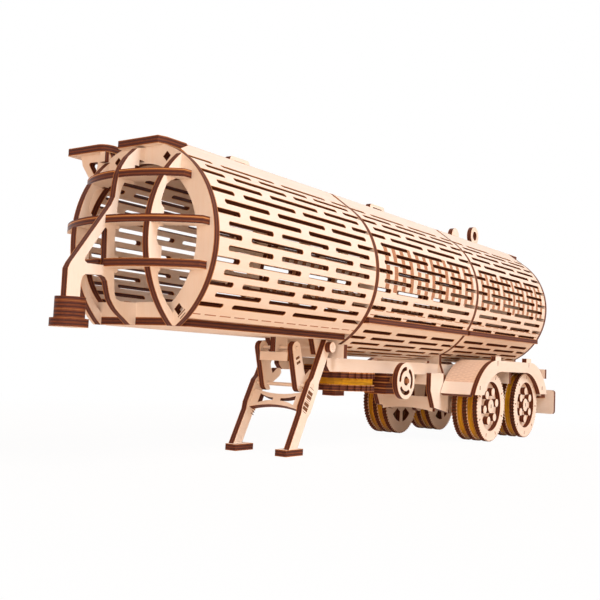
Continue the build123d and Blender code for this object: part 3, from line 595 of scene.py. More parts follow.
def flat_grid(bm, size, middle, steps=1):
    """Adds a flat rectangle, as a grid of steps along its length."""
    place = Matrix.Translation((*middle, 0.0)) @ Matrix.Diagonal((size[0] / 2, size[1] / 2, 1.0, 1.0))
    bmesh.ops.create_grid(bm, x_segments=steps, y_segments=1, size=1.0, matrix=place)


def finish_piece(name, bm, body, materials):
    """Turns a bmesh into a piece that rides on a body."""
    mesh = mesh_of(name, bm)
    for material in materials:
        mesh.materials.append(material)
    piece = link(name, mesh)
    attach(piece, body)
    return piece


SLOT_SIDES = 12


def add_stadium(bm, centre_x, centre_s, length, width):
    """Round-ended slot outline in the flat drawing of a sheet."""
    turn = Matrix.Rotation(math.pi / SLOT_SIDES, 4, "Z")
    place = Matrix.Translation((centre_x, centre_s, 0.0))
    made = bmesh.ops.create_circle(bm, segments=SLOT_SIDES, radius=width / 2, matrix=place @ turn)
    reach = max(length - width, 0.0) / 2
    for side in (1, -1):
        half = [v for v in made["verts"] if (v.co.x - centre_x) * side > 0]
        bmesh.ops.translate(bm, verts=half, vec=(side * reach, 0.0, 0.0))


def slice_flat(bm, point, normal, clear=False):
    """Cuts a mesh along a plane, and clears what lies on the normal's side if asked."""
    everything = [*bm.verts, *bm.edges, *bm.faces]
    bmesh.ops.bisect_plane(bm, geom=everything, plane_co=point, plane_no=normal, clear_outer=clear)


def crease_lines(bm, start, end, step):
    """Cuts lines across a flat sheet so that it can be rolled smoothly."""
    count = max(1, round(abs(end - start) / step))
    for line in range(1, count):
        slice_flat(bm, (0.0, start + (end - start) * line / count, 0.0), (0.0, 1.0, 0.0))


def fill_loops(bm):
    """Fills a flat drawing's outlines, leaving its holes open."""
    bmesh.ops.triangle_fill(bm, use_beauty=True, edges=list(bm.edges), normal=(0.0, 0.0, 1.0))


# A flat sheet starts longer by this at each end, so that slots can run out over its ends
SHEET_SPARE = 45 * MM


def slotted_sheet(low_x, high_x, low_s, high_s, slots):
    """Flat sheet with round-ended slots, in (x, s), as triangles. Slots may run out over its ends."""
    bm = bmesh.new()
    size = (high_x - low_x + 2 * SHEET_SPARE, high_s - low_s)
    flat_grid(bm, size, ((low_x + high_x) / 2, (low_s + high_s) / 2))
    bmesh.ops.delete(bm, geom=list(bm.faces), context="FACES_ONLY")
    for centre_x, centre_s, length, width in slots:
        add_stadium(bm, centre_x, centre_s, length, width)
    fill_loops(bm)
    slice_flat(bm, (high_x, 0.0, 0.0), (1.0, 0.0, 0.0), clear=True)
    slice_flat(bm, (low_x, 0.0, 0.0), (-1.0, 0.0, 0.0), clear=True)
    return bm


def rolled_place(x, arc, side):
    """Place on a sheet's outer side, for an arc from the top. Above the shoulder it runs straight."""
    angle = max(arc / TANK_RADIUS, SHOULDER_ANGLE)
    straight = max(SHOULDER_ARC - arc, 0.0)
    across = TANK_RADIUS * math.sin(angle) - straight * math.cos(SHOULDER_ANGLE)
    height = TANK_RADIUS * math.cos(angle) + straight * math.sin(SHOULDER_ANGLE)
    return Vector((x, side * across, TANK_AXIS_Z + height))


def tank_radial(point):
    """Direction away from the tank's axis at a point."""
    return Vector((0.0, point.y, point.z - TANK_AXIS_Z)).normalized()


def thicken_inwards(bm):
    """Gives a rolled sheet its thickness, towards the tank's axis."""
    made = bmesh.ops.extrude_face_region(bm, geom=list(bm.faces), use_keep_orig=True)
    inner = [item for item in made["geom"] if isinstance(item, bmesh.types.BMVert)]
    share = (TANK_RADIUS - PLY) / TANK_RADIUS
    centre = Matrix.Translation((0.0, 0.0, -TANK_AXIS_Z))
    bmesh.ops.scale(bm, verts=inner, vec=(1.0, share, share), space=centre)
    for vert in inner:
        short = SHEET_TOP_Y - abs(vert.co.y)
        if short > 0 and vert.co.z > TANK_AXIS_Z:
            vert.co.y += math.copysign(short, vert.co.y)
            vert.co.z -= short * math.tan(SHOULDER_ANGLE)
    bmesh.ops.recalc_face_normals(bm, faces=list(bm.faces))


# Skins
SIDES = ((1, "left"), (-1, "right"))


def bays():
    """Each bay's name with its rear and front x."""
    boxes = [(name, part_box(f"skin_{name}_left")) for name in ("front", "middle", "rear")]
    return [(name, low.x, high.x) for name, (low, high) in boxes]


# Webs between the slots of a row, as shares of the bay. Even rows run out over both ends.
ODD_WEBS = (0.317, 0.669)
EVEN_WEBS = (0.141, 0.495, 0.844)
FRONT_ROWS = range(15)
OTHER_ROWS = range(1, 15)
BELLY_ROWS = range(-6, 0)
NOTCH_LENGTH = 15.0 * MM
NOTCH_RISE = 8.3 * MM
# Material numbers of a rolled sheet, with its bay's face as number 0
SHEET_EDGE = 1
SHEET_SCORCH = 2
CREASES_PER_ROW = 3


def brick_slots(low_x, high_x, rows):
    """Slots of a bay in brick order, as centre x, arc, length and width. Row 0 is just above the rail."""
    sizes = settings().sizes
    length = high_x - low_x
    slots = []
    for row in rows:
        even = row % 2 == 0
        arc = TANK_RADIUS * (LOWEST_ROW - row * sizes.row_pitch)
        margin = -sizes.slot_web if even else sizes.slot_web
        webs = EVEN_WEBS if even else ODD_WEBS
        starts = [margin] + [share * length + sizes.slot_web / 2 for share in webs]
        ends = [share * length - sizes.slot_web / 2 for share in webs] + [length - margin]
        for start, end in zip(starts, ends):
            slots.append((high_x - (start + end) / 2, arc, end - start, sizes.slot_width))
    return slots


def skin_piece(name, bay, ends_x, arcs, rows, side, node, notch=None):
    """One rolled sheet of the tank, between two x and two arcs from the top."""
    sizes = settings().sizes
    bm = slotted_sheet(*ends_x, *arcs, brick_slots(*ends_x, rows))
    if notch:
        slice_flat(bm, *notch, clear=True)
    crease_lines(bm, *arcs, TANK_RADIUS * sizes.row_pitch / CREASES_PER_ROW)
    bmesh.ops.inset_region(bm, faces=list(bm.faces), thickness=sizes.scorch, use_boundary=True)
    for face in bm.faces:
        if any(edge.is_boundary for edge in face.edges):
            face.material_index = SHEET_SCORCH
    for vert in bm.verts:
        vert.co = rolled_place(vert.co.x, vert.co.y, side)
    thicken_inwards(bm)
    for face in bm.faces:
        if abs(face.normal.dot(tank_radial(face.calc_center_median()))) < EDGE_TO_FACE[0]:
            face.material_index = SHEET_EDGE
    materials = [piece_material(kind) for kind in (f"skin_{bay}", "skin_edge", "scorch_line")]
    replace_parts(finish_piece(name, bm, "chassis", materials), node)


def head_notch():
    """Slanted corner of the front sheets beside the deck's head: a point and a normal, laid flat."""
    low = Vector((RING_X - NOTCH_LENGTH, SHEET_TOP_ARC, 0.0))
    along = Vector((RING_X - PLY, SHEET_TOP_ARC + NOTCH_RISE, 0.0)) - low
    return low, Vector((along.y, -along.x, 0.0)).normalized()


def arc_at(z):
    """Arc from the top of the tank down to a height."""
    return TANK_RADIUS * math.acos((z - TANK_AXIS_Z) / TANK_RADIUS)


class TANKER_OT_skins(bpy.types.Operator):
    """Rolls the slotted skins of the tank"""

    bl_idname = "tanker.skins"
    bl_label = "Tank Skins"

    def execute(self, context):
        for name, low_x, high_x in bays():
            front = name == "front"
            arcs = (SHEET_TOP_ARC, arc_at(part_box(f"skin_{name}_left")[0].z))
            rows = FRONT_ROWS if front else OTHER_ROWS
            notch = head_notch() if front else None
            for side, side_name in SIDES:
                node = f"skin_{name}_{side_name}"
                skin_piece(f"tank_{node}", name, (low_x, high_x), arcs, rows, side, node, notch)
        for name, low_x, high_x in bays()[1:]:
            node = f"belly_{name}"
            arcs = (arc_at(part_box(node)[1].z), TANK_RADIUS * math.pi)
            for side, side_name in SIDES:
                skin_piece(f"tank_{node}_{side_name}", "belly", (low_x, high_x), arcs, BELLY_ROWS, side, node)
        return {"FINISHED"}


# Wheels: lengths named as shares are shares of the wheel's radius
WHEEL_TEETH = 64
TOOTH_DEPTH = 0.9 * MM
TEETH_STEPS = 4
RIM_SHARE = 0.70
HUB_SHARE = 0.195
LOBE_SHARE = 0.115
LOBE_RING_SHARE = 0.425
LOBE_COUNT = 6
LOBE_TURN = 48.0
BAND_GAP = 3.7 * MM
CORE_SHARE = 0.82
RING_SIDES = 64
HUB_SIDES = 32
LOBE_SIDES = 20
# A window between two spokes: reach and half spread of its inner and outer side, and points on each
WINDOW_SIDES = ((0.34, math.degrees(0.28)), (0.66, math.degrees(0.38)))
WINDOW_POINTS = 4
RIM_MARKS = 8
RIM_MARK_TURN = math.radians(20.0)
RIM_MARK_SHARE = 0.85
RIM_MARK_SIZE = (2.2 * MM, 0.8 * MM, 0.04 * MM)
HUB_MARK_SIZE = (1.0 * MM, 2.4 * MM, 0.08 * MM)
REAR_WHEEL_TURN = math.radians(-17.0)
# The core's faces stay this far off the discs' faces
CORE_CLEAR = 0.02 * MM
# Edges between these depths under the tips are the floors of the notches
NOTCH_FLOORS = (0.6 * TOOTH_DEPTH, 0.6 * TOOTH_DEPTH + MM)
# Material numbers of a wheel
WHEEL_MATERIALS = ("wheel_face", "wheel_tread", "recess", "mark", "soot")
DISC_FACE, DISC_EDGE, RECESS, MARK, SOOT_AND_PAINTED_SHADE = range(len(WHEEL_MATERIALS))


def ring_of(bm, radius, count, centre=(0.0, 0.0)):
    """Loop of straight edges round a centre, in the drawing plane."""
    place = Matrix.Translation((*centre, 0.0))
    return bmesh.ops.create_circle(bm, segments=count, radius=radius, matrix=place)["verts"]


def tooth_loop(bm, radius):
    """Outline of a toothed disc: narrow notches between wide teeth."""
    verts = ring_of(bm, radius, WHEEL_TEETH * TEETH_STEPS)
    for index, vert in enumerate(verts):
        if index % TEETH_STEPS >= TEETH_STEPS // 2:
            vert.co *= (radius - TOOTH_DEPTH) / radius


def give_depth(bm, depth):
    """Turns a flat drawing into a board that starts at its plane and runs along +Z."""
    made = bmesh.ops.extrude_face_region(bm, geom=list(bm.faces), use_keep_orig=True)
    top = [item for item in made["geom"] if isinstance(item, bmesh.types.BMVert)]
    bmesh.ops.translate(bm, verts=top, vec=(0.0, 0.0, depth))
    bmesh.ops.recalc_face_normals(bm, faces=list(bm.faces))


def disc_board(radius, cut_outs):
    """Toothed disc with holes drawn by a function, one board thick."""
    bm = bmesh.new()
    tooth_loop(bm, radius)
    cut_outs(bm, radius)
    fill_loops(bm)
    give_depth(bm, PLY)
    return bm


def rim_hole(bm, radius):
    ring_of(bm, radius * RIM_SHARE, RING_SIDES)


def spoke_windows(bm, radius):
    """Six windows between the spokes of a wheel's inner disc."""
    for window in range(LOBE_COUNT):
        for index, vert in enumerate(ring_of(bm, 1.0, 2 * WINDOW_POINTS)):
            outer = index < WINDOW_POINTS
            share = index % WINDOW_POINTS / (WINDOW_POINTS - 1)
            reach, spread = WINDOW_SIDES[outer]
            turn = 360 * window / LOBE_COUNT + (share * 2 - 1) * (spread if outer else -spread)
            vert.co = (*point_at((0.0, 0.0), radius * reach, turn), 0.0)


def lobes(radius):
    """Hub and six small discs that stand in the wheel's face."""
    bm = bmesh.new()
    ring_of(bm, radius * HUB_SHARE, HUB_SIDES)
    reach = radius * LOBE_RING_SHARE
    for lobe in range(LOBE_COUNT):
        centre = point_at((0.0, 0.0), reach, LOBE_TURN + 360 * lobe / LOBE_COUNT)
        ring_of(bm, radius * LOBE_SHARE, LOBE_SIDES, centre)
    bmesh.ops.edgeloop_fill(bm, edges=list(bm.edges))
    give_depth(bm, PLY)
    return bm


def rim_marks(radius):
    """Small burnt marks near the rim, each a thin plate on the face."""
    bm = bmesh.new()
    for mark in range(RIM_MARKS):
        spin = Matrix.Rotation(RIM_MARK_TURN + mark * 2 * math.pi / RIM_MARKS, 4, "Z")
        place = spin @ Matrix.Translation((radius * RIM_MARK_SHARE, 0.0, 0.0))
        plate(bm, RIM_MARK_SIZE, place)
    return bm


def hub_mark():
    """Burnt dash on the axle's end."""
    bm = bmesh.new()
    plate(bm, HUB_MARK_SIZE, Matrix())
    return bm


def core_tube(radius, depth):
    """Wall between the discs, under the bands."""
    bm = bmesh.new()
    ring_of(bm, radius * CORE_SHARE, RING_SIDES)
    ring_of(bm, radius * HUB_SHARE, RING_SIDES)
    fill_loops(bm)
    give_depth(bm, depth)
    return bm


def add_into(target, part, place, material):
    """Moves a part's faces into a target mesh, with one material index."""
    bmesh.ops.transform(part, matrix=place, verts=list(part.verts))
    if place.to_3x3().determinant() < 0:
        bmesh.ops.reverse_faces(part, faces=list(part.faces))
    for face in part.faces:
        face.material_index = material
    mesh = mesh_of("part", part)
    target.from_mesh(mesh)
    bpy.data.meshes.remove(mesh)


def wheel_place(centre_x, inner_y, side, centre_z, depth):
    """Carries the drawing plane to a wheel, its Z running outward from the wheel's inner face."""
    place = Matrix.Translation((centre_x, side * (inner_y + depth), centre_z))
    return place @ BESIDE @ Matrix.Diagonal((1.0, 1.0, side, 1.0))


def build_wheel(axle, side, side_name, turn):
    """One wheel of three toothed discs, its lobes, marks and core."""
    node = f"wheel_{axle}_{side_name}"
    low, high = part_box(node)
    radius = (high.x - low.x) / 2
    centre = (low + high) / 2
    inner_y = min(abs(low.y), abs(high.y))
    width = high.y - low.y
    spin = Matrix.Rotation(turn, 4, "Z")
    axle_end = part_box(f"axle_{axle}")[1].y - inner_y
    boards = (
        (disc_board(radius, spoke_windows), 0.0, DISC_FACE),
        (disc_board(radius, spoke_windows), (width - PLY) / 2, DISC_FACE),
        (disc_board(radius, rim_hole), width - PLY, DISC_FACE),
        (lobes(radius), width - PLY, DISC_FACE),
        (rim_marks(radius), width, MARK),
        (hub_mark(), max(width, axle_end), SOOT_AND_PAINTED_SHADE),
    )
    bm = bmesh.new()
    for board, depth, material in boards:
        add_into(bm, board, wheel_place(centre.x, inner_y, side, centre.z, depth) @ spin, material)
    tube_place = wheel_place(centre.x, inner_y, side, centre.z, PLY - CORE_CLEAR)
    add_into(bm, core_tube(radius, width - 2 * PLY), tube_place, RECESS)
    for face in bm.faces:
        middle = face.calc_center_median()
        under_tip = radius - Vector((middle.x - centre.x, middle.z - centre.z)).length
        upright = abs(face.normal.y) < 0.5
        # Painted shade: the core's inward face, seen through the spoke windows, is made nearly black
        if face.material_index == RECESS and face.normal.y * side < -0.5:
            face.material_index = SOOT_AND_PAINTED_SHADE
        elif face.material_index == DISC_FACE and upright:
            # Painted shade: the floors of the notches between the teeth are made nearly black
            in_notch = NOTCH_FLOORS[0] < under_tip < NOTCH_FLOORS[1]
            face.material_index = SOOT_AND_PAINTED_SHADE if in_notch else DISC_EDGE
    materials = [piece_material(kind) for kind in WHEEL_MATERIALS]
    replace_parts(finish_piece(f"{node}_discs", bm, f"{axle}_wheels", materials), node)


class TANKER_OT_wheels(bpy.types.Operator):
    """Builds the four wheels of toothed discs"""

    bl_idname = "tanker.wheels"
    bl_label = "Wheels"

    def execute(self, context):
        for axle, turn in (("front", 0.0), ("rear", REAR_WHEEL_TURN)):
            for side, side_name in SIDES:
                build_wheel(axle, side, side_name, turn)
        return {"FINISHED"}


# Small boards drawn flat and cut out of the ply
def beside(low_y):
    """Place of a board square to Y, drawn as (station, level)."""
    return Matrix.Translation((RING_X, low_y * MM, TANK_AXIS_Z)) @ BESIDE


def across(low_x):
    """Place of a board square to X, drawn as (Y, level)."""
    return Matrix.Translation((low_x, 0.0, TANK_AXIS_Z)) @ ACROSS


def round_points(centre, radius, start, end, count):
    """Points on an arc, its turns in degrees."""
    return [point_at(centre, radius, start + (end - start) * step / count) for step in range(count + 1)]


def circle_points(centre, radius, sides=24):
    """Points of a whole circle."""
    return round_points(centre, radius, 0, 360 - 360 / sides, sides - 1)


END_STEPS = 12


def bar_points(top, low, half):
    """Bar with round ends from one centre to another."""
    lean = math.degrees(math.atan2(top[1] - low[1], top[0] - low[0]))
    return (round_points(top, half, lean - 90, lean + 90, END_STEPS)
            + round_points(low, half, lean + 90, lean + 270, END_STEPS))


def curved_slot(centre, radius, half, start, end):
    """Slot along an arc, with round ends."""
    return (round_points(centre, radius + half, start, end, 12)
            + round_points(point_at(centre, radius, end), half, end + 30, end + 150, 3)
            + round_points(centre, radius - half, end, start, 12)
            + round_points(point_at(centre, radius, start), half, start + 210, start + 330, 3))


def cut_board(loops, thick=PLY):
    """Board with an outline and openings, each a list of points in millimetres."""
    bm = bmesh.new()
    for points in loops:
        verts = [bm.verts.new((a * MM, b * MM, 0.0)) for a, b in points]
        for first, second in zip(verts, verts[1:] + verts[:1]):
            bm.edges.new((first, second))
    fill_loops(bm)
    give_depth(bm, thick)
    return bm


FLOOR_UNDER = -34.5
DECK_UNDER = 40.1
RING_R = 42.0
OPENING_R = 33.0
SILL = -25.0
TONGUE_HALF = 19.0
# Diamond in the ring: turn from the top, half of its diagonal
DIAMONDS = ((22.2, 2.2), (137.5, 2.5))
DIAMOND_R = 37.8


def ring_loops():
    """Outline, opening and diamonds of the front ring."""
    top = math.degrees(math.asin(DECK_UNDER / RING_R))
    foot = math.degrees(math.asin(FLOOR_UNDER / RING_R))
    sill = math.degrees(math.asin(SILL / OPENING_R))
    notch = FLOOR_UNDER + PLY_MM
    middle = (0.0, 0.0)
    edge = round_points(middle, RING_R, foot, top, 56)
    edge += round_points(middle, RING_R, 180 - top, 180 - foot, 56)
    edge += [(-TONGUE_HALF, FLOOR_UNDER), (-TONGUE_HALF, notch)]
    edge += [(TONGUE_HALF, notch), (TONGUE_HALF, FLOOR_UNDER)]
    loops = [edge, round_points(middle, OPENING_R, sill, 180 - sill, 80)]
    for turn, half in DIAMONDS:
        for side in (1, -1):
            loops.append(circle_points(point_at(middle, DIAMOND_R, 90 - side * turn), half, 4))
    return loops


# Outline of the centre rib and its arm as (station, level), from the top down the front and up the back
CENTRE_RIB = (
    (0.0, 39.8), (4.5, 38.6), (9.3, 34.0), (12.2, 29.6), (13.8, 25.8), (14.6, 21.0), (15.1, 16.2),
    (17.0, 12.4), (35.2, -12.6), (36.4, -15.0), (36.4, -25.7), (29.8, -25.7), (29.8, -20.0), (29.2, -17.6),
    (27.8, -16.4), (19.8, -15.9), (17.9, -16.5), (16.6, -18.0), (15.3, -22.3), (14.3, -24.8), (12.8, -26.9),
    (10.9, -28.9), (8.7, -30.6), (5.0, -33.0), (2.9, -34.5), (0.0, -34.5), (0.0, -25.6), (9.0, -25.4),
    (11.2, -24.6), (12.3, -22.5), (12.9, -17.0), (13.1, -14.4), (11.4, -14.2), (11.4, -7.4), (13.6, -7.2),
    (13.9, 0.0), (13.8, 3.2), (12.0, 3.4), (12.0, 9.9), (13.7, 10.1), (13.2, 15.0), (11.8, 20.5),
    (10.6, 22.9), (5.4, 23.1), (5.4, 31.2), (3.0, 31.4), (3.0, 34.0), (0.0, 34.0),
)
ARM_WINDOW = (
    (19.4, 3.0), (18.7, 3.2), (18.1, 2.4), (17.6, -10.6), (18.2, -11.6),
    (19.3, -11.9), (27.2, -12.1), (28.4, -11.4), (28.5, -10.2),
)
# Inner edge of a side rib, from its top end down
SIDE_RIB_BACK = (
    (0.0, 24.4), (2.5, 24.4), (5.8, 22.8), (7.8, 21.1), (9.4, 17.0), (10.2, 14.2), (9.9, 12.6),
    (8.3, 11.4), (8.3, 4.2), (10.4, 3.9), (11.2, 2.8), (11.4, 0.2), (11.3, -2.0), (10.4, -3.4),
    (8.5, -3.8), (8.5, -13.2), (9.6, -14.0), (9.6, -16.5), (8.0, -20.2), (6.1, -23.2), (3.6, -26.2),
    (0.0, -29.4),
)
SIDE_RIB_Y = 21.0
SIDE_RIB_TOP = 35.5
SIDE_RIB_BULGE = 16.0
SIDE_RIB_STEPS = 40
# Cross ribs that lap with a side rib: level and depth of the lap
LAPS = ((-10.8, 12.0), (6.6, 12.5), (26.0, 7.0))


def side_rib_loops():
    """Outline of a side rib, its curved front cut by the laps."""
    middle = (SIDE_RIB_TOP + FLOOR_UNDER) / 2
    half = (SIDE_RIB_TOP - FLOOR_UNDER) / 2
    radius = (half**2 + SIDE_RIB_BULGE**2) / (2 * SIDE_RIB_BULGE)

    def front(level):
        return SIDE_RIB_BULGE - radius + math.sqrt(radius**2 - (level - middle)**2)

    levels = [FLOOR_UNDER + 2 * half * step / SIDE_RIB_STEPS for step in range(SIDE_RIB_STEPS + 1)]
    points = [(front(level), level) for level in levels]
    for level, depth in LAPS:
        low, high = level - PLY_MM / 2, level + PLY_MM / 2
        before = [point for point in points if point[1] < low]
        after = [point for point in points if point[1] > high]
        points = before + [(front(low), low), (depth, low), (depth, high), (front(high), high)] + after
    return [points + list(SIDE_RIB_BACK)]


PIVOT = (-118.4, -38.4)
LEG_STEP = Vector((26.3, -50.6)).normalized()
LEG_OUTER = 18.9
STRUT_OUTER = 12.0
STRUT_TOP = (-101.0, -39.8)
STRUT_LOW = (-106.3, -58.3)
STRUT_HALF = 3.4
HOOK = (
    (-108.0, -50.0), (-109.6, -53.0), (-113.4, -50.2), (-116.2, -50.2),
    (-117.2, -52.4), (-115.4, -54.6), (-110.4, -57.4), (-107.0, -59.0),
)
# The hook takes the place of the bar's points from the round top on to this one
HOOK_END = 18
ROD_HOLE = 1.05
BRACE_DOWN = 31.8
BRACE_END = 5.2
BRACE_WAIST = 3.0
BRACE_WINDOW = (2.4, 0.7)
BRACE_STEP = (1.1, 0.03)


def strut_loops():
    """Bar of the stand with its hook and two rod holes."""
    bar = bar_points(STRUT_TOP, STRUT_LOW, STRUT_HALF)
    hooked = bar[:END_STEPS + 1] + list(HOOK) + bar[HOOK_END:]
    return [hooked, circle_points(STRUT_TOP, ROD_HOLE), circle_points(STRUT_LOW, ROD_HOLE)]


def sagging(half, end, waist, side):
    """Points along a long edge that draws in towards the middle."""
    steps = [half * (step / 8 * 2 - 1) for step in range(9)]
    return [(y, side * (waist + (end - waist) * (y / half)**2)) for y in steps]


def brace_board():
    """Waisted board with two windows, in the plane of the legs' lean."""
    half = LEG_OUTER - PLY_MM
    loops = [sagging(half, BRACE_END, BRACE_WAIST, 1) + sagging(half, BRACE_END, BRACE_WAIST, -1)[::-1]]
    for side in (1, -1):
        upper = [(side * (BRACE_WINDOW[0] + BRACE_STEP[0] * step), BRACE_WINDOW[1] + BRACE_STEP[1] * step**2)
                 for step in range(9)]
        loops.append(upper + [(y, -level) for y, level in reversed(upper)])
    bm = cut_board(loops)
    centre = Vector(PIVOT) + LEG_STEP * BRACE_DOWN
    lean = Vector((LEG_STEP.x, 0.0, LEG_STEP.y))
    facing = Vector((-lean.z, 0.0, lean.x))
    turn = Matrix((Vector((0.0, 1.0, 0.0)), -lean, facing)).transposed().to_4x4()
    origin = Vector((RING_X + centre.x * MM, 0.0, TANK_AXIS_Z + centre.y * MM)) - facing * PLY / 2
    return bm, Matrix.Translation(origin) @ turn, facing, origin.dot(facing)


def board_piece(name, parts, materials, node):
    """One piece from several boards, each with its place and material index."""
    bm = bmesh.new()
    for part, place, material in parts:
        add_into(bm, part, place, material)
    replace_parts(finish_piece(name, bm, "chassis", materials), node)


WHEEL_CENTRE = (-184.0, -54.6)
HAND_WHEEL_R = 10.3
HAND_WHEEL_HOLE_R = 2.6
HAND_SLOTS = (45.0, 167.0, 281.0)
HAND_SLOT_R = 6.9
HAND_SLOT_HALF = 1.15
HAND_SLOT_SWEEP = 42.0
HAND_ROD_R = 1.5
HAND_ROD_PROUD = 1.2
HAND_WASHER_R = 2.9
HAND_WASHER = 1.0


def hand_wheel_parts():
    """Disc with three curved slots, its rod and its washer."""
    low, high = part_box("hand_wheel")
    loops = [circle_points(WHEEL_CENTRE, HAND_WHEEL_R, 60), circle_points(WHEEL_CENTRE, HAND_WHEEL_HOLE_R)]
    for turn in HAND_SLOTS:
        ends = (turn - HAND_SLOT_SWEEP, turn + HAND_SLOT_SWEEP)
        loops.append(curved_slot(WHEEL_CENTRE, HAND_SLOT_R, HAND_SLOT_HALF, *ends))
    disc_low = high.y / MM - HAND_ROD_PROUD - PLY_MM
    rod = cut_board([circle_points(WHEEL_CENTRE, HAND_ROD_R)], high.y - low.y)
    washer = cut_board([circle_points(WHEEL_CENTRE, HAND_WASHER_R)], HAND_WASHER * MM)
    return [(cut_board(loops), beside(disc_low), 0), (rod, beside(low.y / MM), 1),
            (washer, beside(disc_low - HAND_WASHER), 0)]


class TANKER_OT_cut_boards(bpy.types.Operator):
    """Cuts the front ring, the stand's struts and brace, and the hand wheel"""

    bl_idname = "tanker.cut_boards"
    bl_label = "Ring, Struts and Hand Wheel"

    def execute(self, context):
        half = PLY_MM / 2
        rows = (
            ("ring_board", "front_ring", "X", ring_loops(), (across(RING_X - PLY),)),
            ("rib_centre_board", "nose_rib_centre", "Y", (CENTRE_RIB, ARM_WINDOW), (beside(-half),)),
            ("rib_side_boards", "nose_ribs_side", "Y", side_rib_loops(),
             (beside(SIDE_RIB_Y - half), beside(-SIDE_RIB_Y - half))),
            ("strut_boards", "stand_struts", "Y", strut_loops(),
             (beside(STRUT_OUTER - PLY_MM), beside(-STRUT_OUTER))),
        )
        for name, node, facing, loops, places in rows:
            parts = [(cut_board(loops), place, 0) for place in places]
            board_piece(name, parts, [board_ply(node, facing, "Z")], node)
        brace, place, facing, offset = brace_board()
        brace_wood = plywood("ply_brace", facing, offset, "Y")
        board_piece("brace_board", [(brace, place, 0)], [brace_wood], "stand_brace")
        low_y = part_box("hand_wheel")[1].y - HAND_ROD_PROUD * MM - PLY
        hand = [plywood("ply_hand_wheel", FACING["Y"], low_y), piece_material("mark")]
        board_piece("hand_wheel_disc", hand_wheel_parts(), hand, "hand_wheel")
        return {"FINISHED"}


# Burnt marks on the boards
MARK_DEPTH = 0.06


def mark_plate(bm, centre, size, turn, place):
    """Thin burnt plate on a face, its centre and size in millimetres and its turn in degrees."""
    at = Matrix.Translation((centre[0] * MM, centre[1] * MM, 0.0))
    spin = Matrix.Rotation(math.radians(turn), 4, "Z")
    plate(bm, (size[0] * MM, size[1] * MM, MARK_DEPTH * MM), place @ at @ spin)


def leg_place(down, aside):
    """Station and level at a distance down a leg and to one side of its middle line."""
    return Vector(PIVOT) + LEG_STEP * down + Vector((-LEG_STEP.y, LEG_STEP.x)) * aside


# Marks on a leg's outer face: distance down the leg, to one side of it, length and width
LEG_MARKS = (
    *((down, 1.3, 1.8, 4.2) for down in (27.2, 29.4, 33.5, 35.7)),
    *((down, 1.3, 0.3, 3.8) for down in (24.6, 31.0, 32.0)),
    (37.4, 1.0, 0.3, 3.2),
)
# Ticks on its inner face
LEG_TICKS = tuple((down, -2.8, 0.45, 2.4) for down in (36.4, 37.8, 39.2))
# Lines on the front ring: place, and length and width
RING_LINES = (((27.15, -29.5), (4.7, 0.45)), ((27.9, -30.5), (3.6, 0.40)))
RING_LINE_TURN = 42.4
STRUT_MARKS = (((-102.3, -44.6), (3.2, 1.3)), ((-103.2, -46.9), (3.2, 1.3)))
STRUT_MARK_TURN = -23.0


class TANKER_OT_marks(bpy.types.Operator):
    """Adds the small burnt marks on legs, struts and ring"""

    bl_idname = "tanker.marks"
    bl_label = "Burnt Marks"

    def execute(self, context):
        bm = bmesh.new()
        lean = math.degrees(math.atan2(LEG_STEP.y, LEG_STEP.x))
        for marks, face_y in ((LEG_MARKS, LEG_OUTER), (LEG_TICKS, PLY_MM - LEG_OUTER)):
            for down, aside, length, width in marks:
                for leg_y in (face_y, -face_y):
                    mark_plate(bm, leg_place(down, aside), (length, width), lean, beside(leg_y))
        for place, size in RING_LINES:
            mark_plate(bm, place, size, RING_LINE_TURN, across(RING_X))
        for place, size in STRUT_MARKS:
            for face_y in (STRUT_OUTER, -STRUT_OUTER):
                mark_plate(bm, place, size, STRUT_MARK_TURN, beside(face_y))
        finish_piece("burnt_marks", bm, "chassis", [piece_material("brand")])
        return {"FINISHED"}


# Fender sheets
FLAT_HALF = 33.0 * MM
# A point of the bend, from the foot's end inwards and from the crest down
BEND_IN = 12.8 * MM
BEND_DOWN = 7.2 * MM
FENDER_STEPS = 96


def circle_through(a, b, c):
    """Centre of the circle through three points of a plane."""
    x = y = share = 0.0
    for near, second, third in ((a, b, c), (b, c, a), (c, a, b)):
        share += 2 * near.x * (second.y - third.y)
        x += near.length_squared * (second.y - third.y)
        y += near.length_squared * (third.x - second.x)
    return Vector((x / share, y / share))


def fender_corner():
    """End of the flat, end of the foot and centre of the bend between them, from the middle of the axles."""
    low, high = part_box("fender_sheet_left")
    half = (high.x - low.x) / 2
    flat_end = Vector((FLAT_HALF, high.z))
    middle = Vector((half - BEND_IN, high.z - BEND_DOWN))
    foot = Vector((half, low.z))
    return flat_end, foot, circle_through(flat_end, middle, foot)


def fender_arc():
    """Length of the sheet along its outside, from foot to foot."""
    flat_end, foot, centre = fender_corner()
    bend = (flat_end - centre).angle(foot - centre) * (flat_end - centre).length
    return 2 * (bend + FLAT_HALF)


def fender_place(arc, inset):
    """Point on the sheet's outside, or an inset from it, an arc away from the front foot."""
    flat_end, foot, centre = fender_corner()
    radius = (flat_end - centre).length
    half = fender_arc() / 2
    from_middle = half - arc
    side = math.copysign(1.0, from_middle)
    past = abs(from_middle) - FLAT_HALF
    if past <= 0:
        return Vector((from_middle, flat_end.y - inset))
    turn = Vector((1.0, 0.0)).angle(flat_end - centre) - past / radius
    point = centre + Vector((math.cos(turn), math.sin(turn))) * (radius - inset)
    return Vector((side * point.x, point.y))


